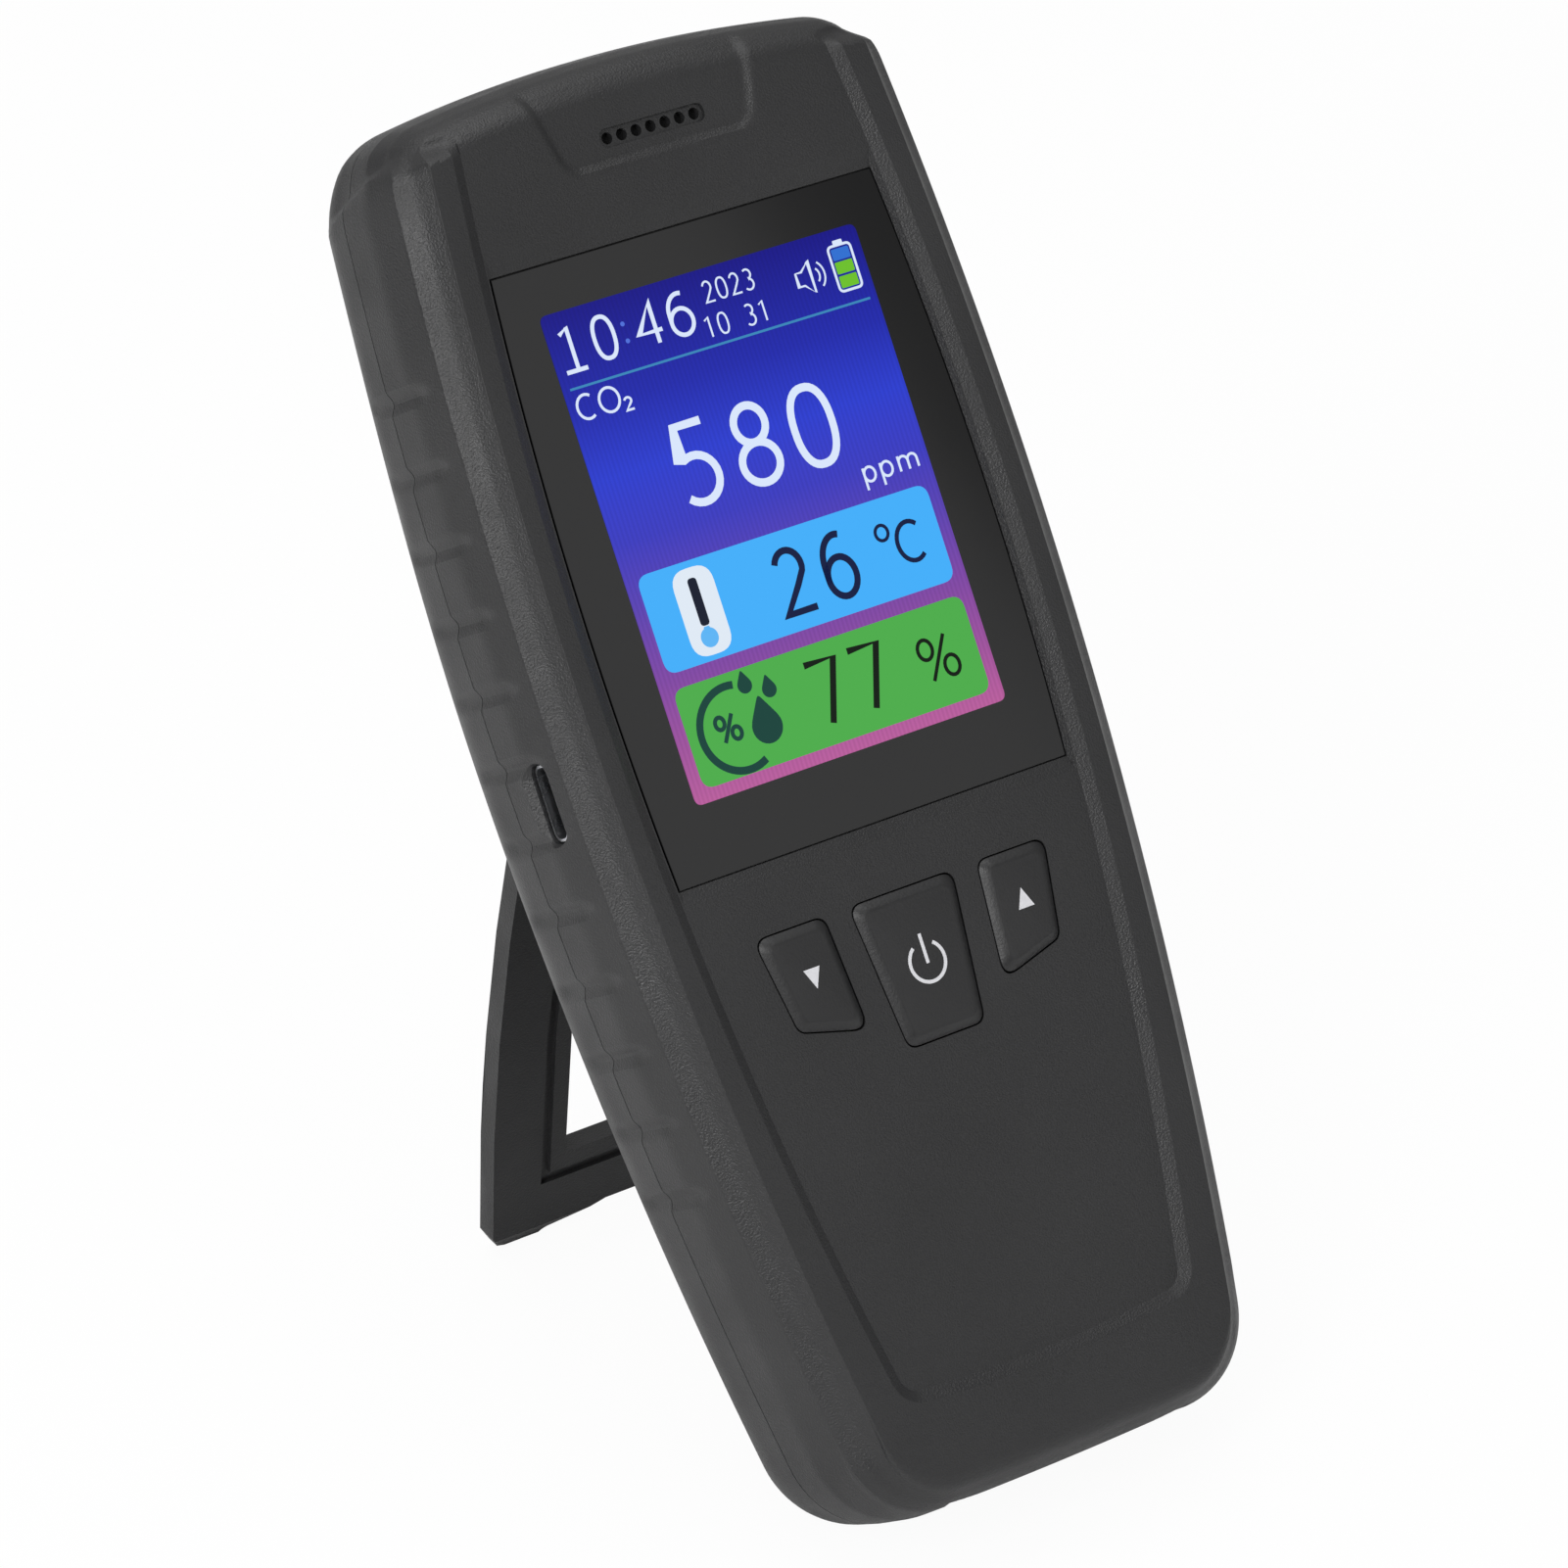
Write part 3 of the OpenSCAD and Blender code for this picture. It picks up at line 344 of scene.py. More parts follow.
def band_drop(x, y, z):
    """How far the top corners stand back from the grip band: a soft step that runs down to the
    rear and fades out towards the crest's middle, the face and the back."""
    edge = BAND_TOP - 0.35 * (y - SEAM_Y)
    return BAND_RISE * smooth(edge - 0.5, edge + 1.5, z) * smooth(14, 32, np.abs(x)) * (
        smooth(0.5, 4.0, y)) * (1 - smooth(13.5, 19.0, y))


def hollowed_feet(points):
    """Lifts the bottom between the feet to an arc that stays clear of the floor, with short
    rounded ends at the feet."""
    x = np.abs(points[..., 0])
    arc = FOOT_HOLLOW_TOP + FOOT_HOLLOW_R - np.sqrt(FOOT_HOLLOW_R**2 - np.minimum(x, 20) ** 2)
    arc = np.maximum(arc, (FOOT_CLEAR - SHIFT[2] + LEAN_SIN * points[..., 1]) / LEAN_COS)
    floor = arc + (BOTTOM - 2 - arc) * smooth(FOOT_GAP - 0.3, FOOT_GAP + 1.0, x)
    points[..., 2] = np.maximum(points[..., 2], floor)
    return points


def leaner(y, z):
    """Depths behind the parting line, less by up to TAPER of themselves towards the top."""
    return y - np.maximum(y - SEAM_Y, 0) * TAPER * smooth(-20, 45, z)


def outward(rings):
    """Each ring point's outward direction in x and z."""
    ahead = np.roll(rings, -1, 1) - np.roll(rings, 1, 1)
    ahead = ahead / np.linalg.norm(ahead, axis=-1, keepdims=True)
    return np.stack([ahead[..., 1], -ahead[..., 0]], -1)


def shaped(rings, y):
    """Rings with depths y, given the grooves, the grip band's step and the hollow between the
    feet: each point moves in along its ring's own normal."""
    normal = outward(rings)
    x, z = rings[..., 0], rings[..., 1]
    sideways = smooth(0.6, 0.95, np.abs(normal[..., 0]))
    drop = grooves(x, y, z, normal[..., 0]) + band_drop(x, y, z) * sideways
    moved = rings - normal * drop[..., None]
    return hollowed_feet(np.stack([moved[..., 0], y, moved[..., 1]], -1))


# ---- Front shell -------------------------------------------------------------------------------

FRONT_END = SEAM_Y - SEAM_GAP
RUNS = [14, 12, 3, 5, 2, 2, 3]
RIM_OUTER, RIM_INNER, FACE_EDGE = 5.1, 7.4, 8.9
# Inset and depth from the parting line to the edge of the face: at the sides, with the ridge, the
# coved chamfer, the little step and the raised rim; at the bottom; and at the crest's shoulder.
SIDE_PROFILE = profile(
    [(0, FRONT_END), (0.4, 6.3), (1.75, 1.4), (3.65, 0.0), (4.98, -1.86), (RIM_OUTER, RIM_Y),
     (RIM_INNER, RIM_Y), (FACE_EDGE, FACE_Y)],
    [10, 0.45, 5, 0.05, 0.1, 0.25], RUNS)
BOTTOM_PROFILE = profile(
    [(0, FRONT_END), (0.25, 6.3), (0.9, 2.0), (1.8, 0.0), (3.0, -1.7), (4.4, RIM_Y),
     (12.8, RIM_Y), (14.2, FACE_Y)],
    [10, 4, 4, 2.5, 3, 0.25], RUNS)
CREST_PROFILE = profile(
    [(0, FRONT_END), (0.25, 8.0), (0.75, 4.6), (1.7, 1.9), (2.55, 0.75), (2.7, 0.6),
     (3.3, 0.0), (4.0, -0.54)],
    [8, 5, 5, 2, 0.2, 1.0], RUNS)
HIGH_RIM, HIGH_RIM_END = 48.4, 51.0
LOW_RIM, LOW_RIM_END = -99.0, -108.0

HOOD_BOTTOM, HOOD_WALL, HOOD_DEPTH, HOOD_CORNER = 42.4, 1.3, 0.55, 2.6
VENT_Z, VENT_HALF, VENT_R = 45.95, 7.1, 1.1
VENTS, VENT_PITCH, VENT_D = 7, 1.97, 1.4


def hood(x, y, z):
    """Depth of the recess round the air vent: a soft slope inside an outline that widens upwards,
    open at the crest. Its distance from the outline is that of a box with rounded corners."""
    to_side = np.interp(z, [42, 46, 48, 50, 54], [12.9, 13.85, 14.4, 14.85, 15.6]) - np.abs(x)
    to_bottom = z - HOOD_BOTTOM
    corner = np.hypot(np.maximum(HOOD_CORNER - to_side, 0), np.maximum(HOOD_CORNER - to_bottom, 0))
    inside = HOOD_CORNER - corner + np.maximum(np.minimum(to_side, to_bottom) - HOOD_CORNER, 0)
    return HOOD_DEPTH * smooth(0, HOOD_WALL, inside) * (1 - smooth(51.5, 55.0, z)) * (y < 4)


def shoulder(x, z):
    """How far the face rolls back above a line that falls a little towards the sides."""
    return 0.16 * np.maximum(z - (50.2 - x**2 / 360), 0) ** 2


def front_rows():
    """The outside of the front shell, from the parting line to the edge of the face."""
    inset = SIDE_PROFILE[:, 0]
    rings = body_rings(
        HALF_W - inset, BOTTOM + BOTTOM_PROFILE[:, 0], TOP - CREST_PROFILE[:, 0],
        np.interp(inset, [0, RIM_OUTER, RIM_INNER], [SIDE_R, SIDE_R - 10, FACE_SIDE_R]),
        np.interp(inset, [0, RIM_OUTER, RIM_INNER], [FOOT_R, FOOT_R - 50, FACE_BOTTOM_R]),
        np.interp(inset, [0, RIM_OUTER, RIM_INNER, FACE_EDGE], [LOW_CORNER_R, 8.5, 4, 2.5]),
        np.interp(inset, [0, 0.6, 1.75, 3.65, RIM_OUTER, RIM_INNER, FACE_EDGE],
                  [HIGH_CORNER_R, 9.2, 8.2, 6, 3.5, 2.0, 1.2]))
    z = rings[..., 1]
    turned = 1 - smooth(0.3, 0.8, np.abs(outward(rings)[..., 0]))
    high = np.maximum(smooth(HIGH_RIM, HIGH_RIM_END, z), turned * (z > 0))
    low = smooth(LOW_RIM_END, LOW_RIM, z)
    side_y, crest_y, bottom_y = (p[:, 1:2] for p in (SIDE_PROFILE, CREST_PROFILE, BOTTOM_PROFILE))
    y = side_y * (1 - high) * low + crest_y * high + bottom_y * (1 - low)
    points = shaped(rings, y)
    roll = shoulder(points[..., 0], points[..., 2]) * smooth(2.6, 4.4, inset)[:, None] * (1 - high)
    points[..., 1] += roll
    points[..., 1] += hood(points[..., 0], points[..., 1], points[..., 2])
    return points


def crown_patch(edge):
    """The face above the lens: a Coons patch (the sum of the two ruled surfaces between opposite
    edges, less the bilinear one through the corners) inside the ring's upper part, sunk by the
    hood's recess."""
    right = edge[SLOPE_INDEX:SLOPE_INDEX + HIGH_POINTS + 1]
    left = edge[len(edge) - SLOPE_INDEX - HIGH_POINTS:len(edge) - SLOPE_INDEX + 1][::-1]
    top = edge[SLOPE_INDEX + HIGH_POINTS:len(edge) - SLOPE_INDEX - HIGH_POINTS + 1]
    across = ((top[0, 0] - top[:, 0]) / (2 * top[0, 0]))[None, :, None]
    up = np.linspace(0, 1, HIGH_POINTS + 1)[:, None, None]
    base = right[0] + (left[0] - right[0]) * across[0]
    ruled = base * (1 - up) + top * up + right[:, None] * (1 - across) + left[:, None] * across
    corners = ((right[0] * (1 - across) + left[0] * across) * (1 - up)
               + (right[-1] * (1 - across) + left[-1] * across) * up)
    patch = ruled - corners
    patch[1:-1, 1:-1, 1] = FACE_Y + shoulder(patch[1:-1, 1:-1, 0], patch[1:-1, 1:-1, 2])
    sunk = hood(patch[..., 0], patch[..., 1], patch[..., 2])
    rim = np.ones(patch.shape[:2])
    rim[:, [0, -1]] = 0
    rim[-1] = 0
    patch[..., 1] += sunk * rim
    return patch


def even_rings(inset):
    """The body's outline moved in by the same amount all round, one ring for each inset."""
    return body_rings(HALF_W - inset, BOTTOM + inset, TOP - inset, SIDE_R - inset, FOOT_R + 0 * inset,
                       np.maximum(LOW_CORNER_R - inset, LEAST_CORNER_R),
                       np.maximum(HIGH_CORNER_R - inset / 2, LEAST_CORNER_R))


def inner_rows(levels):
    """Rings of the inside of a shell: each level is (depth, inset)."""
    y, inset = np.array(levels, float).T
    rings = even_rings(inset)
    return np.stack([rings[..., 0], leaner(y[:, None], rings[..., 1]), rings[..., 1]], -1)


def lens_outline(grow, z_low=LENS_BOTTOM, z_high=LENS_TOP, points=24):
    """The lens: two sides that follow the face's long arcs, joined by straight ends."""
    z = np.linspace(z_low - grow, z_high + grow, points)
    x = FACE_HALF_W - LENS_INSET + grow - (z - WIDEST_Z) ** 2 / (2 * FACE_SIDE_R)
    right = np.stack([x, z], 1)
    return np.concatenate([right, right[::-1] * [-1, 1]])


def lens_cutter():
    """The lens's seat with its sloped ends, and the opening for the display behind it."""
    mouth = lens_outline(0.55, SLOPE_BOTTOM + 0.55, SLOPE_TOP - 0.55)
    seat = lens_outline(0.15)
    window = seat * [WINDOW_HALF_W / np.abs(seat[:, 0]).max(), WINDOW_SHARE]
    skin = Skin()
    skin.rings([on_plane(mouth, RIM_Y - 1), on_plane(mouth, FACE_Y - 0.01), on_plane(seat, LENS_Y + 0.06),
                on_plane(seat, SEAT_FLOOR_Y), on_plane(window, SEAT_FLOOR_Y),
                on_plane(window, FACE_BACK_Y + 2)])
    return skin


BUTTON_TOP = -45.1
BUTTON_CORNER = 1.6
POWER = [(-5.4, BUTTON_TOP - 17.8), (5.4, BUTTON_TOP - 17.8), (7.35, BUTTON_TOP), (-7.35, BUTTON_TOP)]
UP = [(9.4, BUTTON_TOP - 14.1), (18.4, BUTTON_TOP - 11.7), (20.4, BUTTON_TOP), (10.6, BUTTON_TOP)]
DOWN = [(-x, z) for x, z in UP]
BUTTONS = {"down": DOWN, "power": POWER, "up": UP}

USB_Y, USB_Z, USB_W, USB_H, USB_LIP = 5.5, -23.4, 9.4, 3.7, 0.5
USB_MOUTH = -36.6
ROUND_END_SLACK, ROUND_END_STEPS = 0.02, 8


def usb_outline(grow, x):
    """The socket's slot in y and z, with round ends, set at x."""
    low, high = USB_Y - USB_H / 2 - grow, USB_Y + USB_H / 2 + grow
    half = USB_W / 2 + grow
    bottom, top = USB_Z - half, USB_Z + half
    outline = rounded([(low, bottom), (high, bottom), (high, top), (low, top)],
                      USB_H / 2 + grow - ROUND_END_SLACK, ROUND_END_STEPS)
    return np.stack([np.full(len(outline), x), outline[:, 0], outline[:, 1]], -1)


def vent_outline(grow):
    """The vent's slot, with round ends."""
    half, r = VENT_HALF + grow, VENT_R + grow
    low, high = VENT_Z - r, VENT_Z + r
    corners = [(-half, low), (half, low), (half, high), (-half, high)]
    return rounded(corners, r - ROUND_END_SLACK, ROUND_END_STEPS)


def front_cutters():
    """Everything that is cut from the front shell in one go."""
    skin = lens_cutter()
    for corners in BUTTONS.values():
        outline = rounded(anticlockwise(corners), BUTTON_CORNER)
        skin.rings([on_plane(outline, RIM_Y - 1), on_plane(outline, FACE_BACK_Y + 1)])
    slot = vent_outline(0)
    skin.rings([on_plane(slot, RIM_Y - 1), on_plane(slot, FACE_BACK_Y + 1)])
    skin.rings([usb_outline(USB_LIP + 1, USB_MOUTH - USB_LIP - 1), usb_outline(0, USB_MOUTH + USB_LIP),
                usb_outline(0, USB_MOUTH + 4)])
    return loose_piece("front_cutter", skin)


def front_shell():
    """The front half of the housing, as one closed shell with its openings cut."""
    outside = front_rows()
    lip_end = FRONT_END - LIP
    inside = inner_rows([(FRONT_END, 1.0), (lip_end, 1.0), (lip_end, 2.2), (3.4, 4.2), (FACE_BACK_Y, 7.6)])
    skin = Skin()
    skin.grid(np.concatenate([inside[::-1], outside]), wrap_columns=True)
    skin.polygon(inside[-1])
    edge = outside[-1]
    crown = crown_patch(edge)
    skin.grid(crown)
    lower = np.concatenate([crown[0], edge[len(edge) - SLOPE_INDEX + 1:], edge[:SLOPE_INDEX]])
    skin.polygon(lower)
    piece = loose_piece("front_housing", skin)
    carve(piece, front_cutters())
    return piece


# ---- Rear shell --------------------------------------------------------------------------------

REAR_START = SEAM_Y + SEAM_GAP
REAR_STEPS = 18
STAND_LEN, STAND_HALF_W, STAND_WIDE_S, STAND_SIDE_R = 85.4, 27.5, 72.0, 312.0
STAND_ARM, STAND_OPEN, STAND_T, HEEL = 10.4, (16.0, 73.1), 3.0, 4.0
STAND_SWING = 36.4
POCKET_GAP = 0.4


def rear_rows():
    """The outside of the rear shell: straight from the parting line, then a quarter circle."""
    straight = np.linspace(REAR_START, BACK_Y - REAR_ROUND, 9)[:-1]
    angle = np.linspace(0, np.pi / 2, REAR_STEPS + 1)
    y = np.concatenate([straight, BACK_Y - REAR_ROUND + REAR_ROUND * np.sin(angle)])
    inset = np.concatenate([0 * straight, REAR_ROUND * (1 - np.cos(angle))])
    rings = even_rings(inset)
    return shaped(rings, leaner(y[:, None], rings[..., 1]))


def stand_half(s, inset=0):
    """Half width of the kickstand at s from the pivot: a long arc, widest near the foot."""
    return STAND_HALF_W - inset - (s - STAND_WIDE_S) ** 2 / (2 * STAND_SIDE_R)


def folded(half_x, s):
    """An outline from half widths and distances from the pivot, in its folded place."""
    right = np.stack([half_x, PIVOT_Z - s], 1)
    return anticlockwise(np.concatenate([right, right[::-1] * [-1, 1]]))


def pocket_cutter():
    """The channel for the folded kickstand: its frame, grown by the gap, less the island."""
    s = np.linspace(-HEEL - POCKET_GAP, STAND_LEN + POCKET_GAP, 40)
    outer = folded(stand_half(s, -POCKET_GAP) - 3.0 * smooth(STAND_LEN - 3, STAND_LEN + 1, s), s)
    s = np.linspace(STAND_OPEN[0] + POCKET_GAP, STAND_OPEN[1] - POCKET_GAP, 40)
    inner = folded(stand_half(s, STAND_ARM + POCKET_GAP), s)
    low, high = BACK_Y - STAND_T - POCKET_GAP, BACK_Y + 1
    skin = Skin()
    rows = [on_plane(outer, low), on_plane(outer, high), on_plane(inner, high), on_plane(inner, low)]
    skin.grid(np.array(rows), wrap_rows=True, wrap_columns=True)
    return loose_piece("pocket_cutter", skin)


SCREW_HOLES = [(27.0, 43.0), (-27.0, 43.0), (17.5, -102.0), (-17.5, -102.0)]
SCREW_HOLE_R, SCREW_SEAT = 2.6, 4.0
BACK_VENTS, BACK_VENT_PITCH, BACK_VENT_HALF, BACK_VENT_R = 5, 4.4, 9.0, 0.8
BACK_VENT_TOP = TOP - 17
NOTCH_LIFT, NOTCH_R, NOTCH_HALF_W = 7.0, 9.0, 9.0


def circle(x, z, radius, count=32):
    """A circle's points in x and z."""
    angle = np.linspace(0, 2 * np.pi, count, endpoint=False)
    return np.stack([x + radius * np.cos(angle), z + radius * np.sin(angle)], -1)


def back_cutters():
    """Air slots, screw wells and the finger notch."""
    skin = Skin()
    for k in range(BACK_VENTS):
        z, r = BACK_VENT_TOP - k * BACK_VENT_PITCH, BACK_VENT_R
        half, low, high = BACK_VENT_HALF, z - r, z + r
        outline = rounded([(-half, low), (half, low), (half, high), (-half, high)], r - 0.03)
        skin.rings([on_plane(outline, BACK_Y - 2 * WALL - 2), on_plane(outline, BACK_Y + 1)])
    for x, z in SCREW_HOLES:
        outline = circle(x, z, SCREW_HOLE_R)
        skin.rings([on_plane(outline, BACK_Y - SCREW_SEAT + 0.02), on_plane(outline, BACK_Y + 1)])
    notch = circle(BACK_Y + NOTCH_LIFT, PIVOT_Z - STAND_LEN - 0.5, NOTCH_R, 48)
    skin.rings([np.insert(notch, 0, x, 1) for x in (-NOTCH_HALF_W, NOTCH_HALF_W)])
    return loose_piece("back_cutter", skin)


def heel_cutter():
    """The slope that the heel turns into when the kickstand opens."""
    angle = math.radians(STAND_SWING)
    along = np.array([math.sin(angle), -math.cos(angle)])
    back = np.array([math.cos(angle), math.sin(angle)])
    pivot = np.array([PIVOT_Y, PIVOT_Z])
    outline = np.array([
        pivot + along * 0.6 - back * 1.45, pivot - along * 4.3 - back * 1.45,
        pivot - along * 4.3 + back * 1.6,
        [BACK_Y + 1, PIVOT_Z + HEEL + POCKET_GAP], [BACK_Y + 1, PIVOT_Z]])
    half = stand_half(0) - 0.2
    skin = Skin()
    skin.rings([np.stack([np.full(5, x), outline[:, 0], outline[:, 1]], -1) for x in (-half, half)])
    return loose_piece("heel_cutter", skin)


def rear_shell():
    """The rear half of the housing, as one closed shell with the kickstand's pocket."""
    outside = rear_rows()
    lip_end = REAR_START - LIP
    inside = inner_rows([(REAR_START, 0.9), (lip_end, 0.9 + 0.25), (lip_end, 2.1), (15, 2.1),
                         (19.5, 5.5), (19.6, 9.5)])
    skin = Skin()
    skin.grid(np.concatenate([inside[::-1], outside]), wrap_columns=True)
    skin.mirrored_cap(inside[-1])
    skin.mirrored_cap(outside[-1])
    piece = loose_piece("rear_housing", skin)
    carve(piece, pocket_cutter(), heel_cutter(), back_cutters())
    coordinates = np.zeros(len(piece.data.vertices) * 3)
    piece.data.vertices.foreach_get("co", coordinates)
    coordinates = coordinates.reshape(-1, 3)
    coordinates[:, 2] = np.maximum(coordinates[:, 2], 0)
    piece.data.vertices.foreach_set("co", coordinates.ravel())
    return piece


# ---- Materials ---------------------------------------------------------------------------------

DISPLAY_SPECULAR = 0.15


def linear(code):
    """A colour written as six hex digits, as the renderer's linear values."""
    shares = [int(code[i:i + 2], 16) / 255 for i in (0, 2, 4)]
    return [s / 12.92 if s <= 0.04045 else ((s + 0.055) / 1.055) ** 2.4 for s in shares] + [1]


def surface(name, colour, roughness=0.5, metallic=0.0, specular=0.5):
    """A new material: returns it with its node tree and its Principled shader."""
    material = bpy.data.materials.new(name)
    material.use_nodes = True
    shader = material.node_tree.nodes["Principled BSDF"]
    shader.inputs["Base Color"].default_value = linear(colour)
    shader.inputs["Roughness"].default_value = roughness
    shader.inputs["Metallic"].default_value = metallic
    shader.inputs["Specular IOR Level"].default_value = specular
    return material, material.node_tree, shader


def link(tree, source, output, target, socket):
    """Joins one node's output to another's input."""
    tree.links.new(source.outputs[output], target.inputs[socket])


def noise(tree, scale, detail=2.0):
    """Noise on the object's own coordinates, in cycles per metre."""
    place = tree.nodes.new("ShaderNodeTexCoord")
    texture = tree.nodes.new("ShaderNodeTexNoise")
    texture.inputs["Scale"].default_value = scale
    texture.inputs["Detail"].default_value = detail
    link(tree, place, "Object", texture, "Vector")
    return texture


def spread(tree, source, low, high, shader, socket):
    """Carries a texture's value to a socket between two colours or numbers."""
    ramp = tree.nodes.new("ShaderNodeValToRGB")
    ramp.color_ramp.elements[0].position, ramp.color_ramp.elements[1].position = 0.3, 0.7
    for element, value in zip(ramp.color_ramp.elements, (low, high)):
        element.color = linear(value) if isinstance(value, str) else (value, value, value, 1)
    link(tree, source, "Fac", ramp, "Fac")
    link(tree, ramp, "Color", shader, socket)


def roughen(tree, shader, source, strength, distance):
    """A bump from a texture's value."""
    bump = tree.nodes.new("ShaderNodeBump")
    bump.inputs["Strength"].default_value = strength
    bump.inputs["Distance"].default_value = distance
    link(tree, source, "Fac", bump, "Height")
    link(tree, bump, "Normal", shader, "Normal")


def grained_plastic(name, dark, light, grain, strength, roughness):
    """Moulded plastic: a fine spark-eroded grain, with slow changes of tone and gloss."""
    material, tree, shader = surface(name, light, roughness)
    spread(tree, noise(tree, 55, 3), dark, light, shader, "Base Color")
    spread(tree, noise(tree, 140, 2), roughness - 0.05, roughness + 0.06, shader, "Roughness")
    roughen(tree, shader, noise(tree, grain, 2), strength, 0.00012)
    return material


def glowing(name, colour):
    """A lit part of the display."""
    material, tree, shader = surface(name, "000000", 0.2)
    shader.inputs["Emission Color"].default_value = linear(colour)
    shader.inputs["Emission Strength"].default_value = 1.0
    shader.inputs["Specular IOR Level"].default_value = DISPLAY_SPECULAR
    return material


def plain(name, colour, roughness=0.5, metallic=0.0, vary=0.04):
    """An inner part's finish: one colour with a little unevenness in its gloss."""
    material, tree, shader = surface(name, colour, roughness, metallic)
    spread(tree, noise(tree, 400, 2), roughness - vary, roughness + vary, shader, "Roughness")
    return material


body_plastic = grained_plastic("body_plastic", "232324", "282829", 4200, 0.75, 0.40)
stand_plastic = grained_plastic("stand_plastic", "202021", "242425", 4200, 0.7, 0.44)
button_plastic = grained_plastic("button_plastic", "1f1f20", "222223", 3000, 0.3, 0.42)
lens_black, lens_tree, lens_shader = surface("lens_black", "050506", 0.09)
spread(lens_tree, noise(lens_tree, 30, 1), 0.08, 0.1, lens_shader, "Roughness")
legend_grey = plain("legend_grey", "dcdce0", 0.5)
bright_steel = plain("bright_steel", "c4c6ca", 0.28, 1.0)

# ---- Display -----------------------------------------------------------------------------------

SCREEN_W, SCREEN_H = 43.2, 57.6
SCREEN_SKY = [(0.0, "bb5f9f"), (0.12, "a0539f"), (0.25, "8248a6"), (0.4, "5c43b4"),
              (0.53, "3c3cc2"), (0.66, "2c3ed2"), (0.8, "2029ae"), (1.0, "151288")]
FILM = 0.03


def screen_glow():
    """The display's picture: a run of colours from magenta up to deep blue along the piece's UV,
    with fine upright lines."""
    material, tree, shader = surface("screen_glow", "000000", 0.2)
    place = tree.nodes.new("ShaderNodeUVMap")
    place.uv_map = "screen"
    split = tree.nodes.new("ShaderNodeSeparateXYZ")
    link(tree, place, "UV", split, "Vector")
    ramp = tree.nodes.new("ShaderNodeValToRGB")
    elements = ramp.color_ramp.elements
    elements[0].position, elements[0].color = SCREEN_SKY[0][0], linear(SCREEN_SKY[0][1])
    elements[1].position, elements[1].color = SCREEN_SKY[-1][0], linear(SCREEN_SKY[-1][1])
    for position, colour in SCREEN_SKY[1:-1]:
        elements.new(position).color = linear(colour)
    link(tree, split, "Y", ramp, "Fac")
    lines = tree.nodes.new("ShaderNodeTexWave")
    lines.inputs["Scale"].default_value = 24
    lines.inputs["Distortion"].default_value = 0
    link(tree, place, "UV", lines, "Vector")
    shade = tree.nodes.new("ShaderNodeMix")
    shade.data_type, shade.blend_type = "RGBA", "MULTIPLY"
    shade.inputs[0].default_value = 0.12
    link(tree, ramp, "Color", shade, 6)
    link(tree, lines, "Color", shade, 7)
    tree.links.new(shade.outputs[2], shader.inputs["Emission Color"])
    shader.inputs["Specular IOR Level"].default_value = DISPLAY_SPECULAR
    shader.inputs["Emission Strength"].default_value = 1.0
    return material


class Ink:
    """Flat shapes on the display or a button: closed films, each standing FILM above the last."""

    def __init__(self, level_y):
        self.skin, self.y = Skin(), level_y

    def patch(self, outline, depth=FILM):
        """A filled outline."""
        self.skin.rings([on_plane(outline, self.y - depth), on_plane(outline, self.y + FILM)])

    def band(self, path, width, closed=False):
        """A stroke of one width along a path, with square ends, or a closed ring."""
        path = np.asarray(path, float)
        ahead = np.roll(path, -1, 0) - np.roll(path, 1, 0)
        if not closed:
            ahead[0], ahead[-1] = path[1] - path[0], path[-1] - path[-2]
        ahead = ahead / np.linalg.norm(ahead, axis=1, keepdims=True)
        side = np.stack([-ahead[:, 1], ahead[:, 0]], 1)
        turn = np.roll(path, -1, 0) - path
        turn = turn / np.maximum(np.linalg.norm(turn, axis=1, keepdims=True), 1e-9)
        bend = np.clip((ahead * turn).sum(1), 0.5, 1)[:, None]
        if not closed:
            bend[[0, -1]] = 1
        left, right = path + side * width / 2 / bend, path - side * width / 2 / bend
        low, high = self.y - FILM, self.y + FILM
        rows = [on_plane(left, low), on_plane(right, low), on_plane(right, high), on_plane(left, high)]
        self.skin.grid(np.array(rows), wrap_rows=True, wrap_columns=closed)
        if not closed:
            self.skin.polygon([row[0] for row in rows])
            self.skin.polygon([row[-1] for row in rows])

    def piece(self, name, body, material, slot):
        """The finished piece."""
        return dress(loose_piece(name, self.skin), body, material, slot, sharp=40)


def oval(x, z, half_x, half_z, start=0, end=360, steps=28, power=1.0):
    """Part of an oval, its angle in degrees anticlockwise from +x; a power under 1 squares it."""
    angle = np.radians(np.linspace(start, end, steps, endpoint=abs(end - start) < 360))
    c, s = np.cos(angle), np.sin(angle)
    c, s = np.sign(c) * np.abs(c) ** power, np.sign(s) * np.abs(s) ** power
    return np.stack([x + half_x * c, z + half_z * s], 1)


def joined(*runs):
    """Runs of points one after another."""
    return np.concatenate([np.asarray(run, float).reshape(-1, 2) for run in runs])


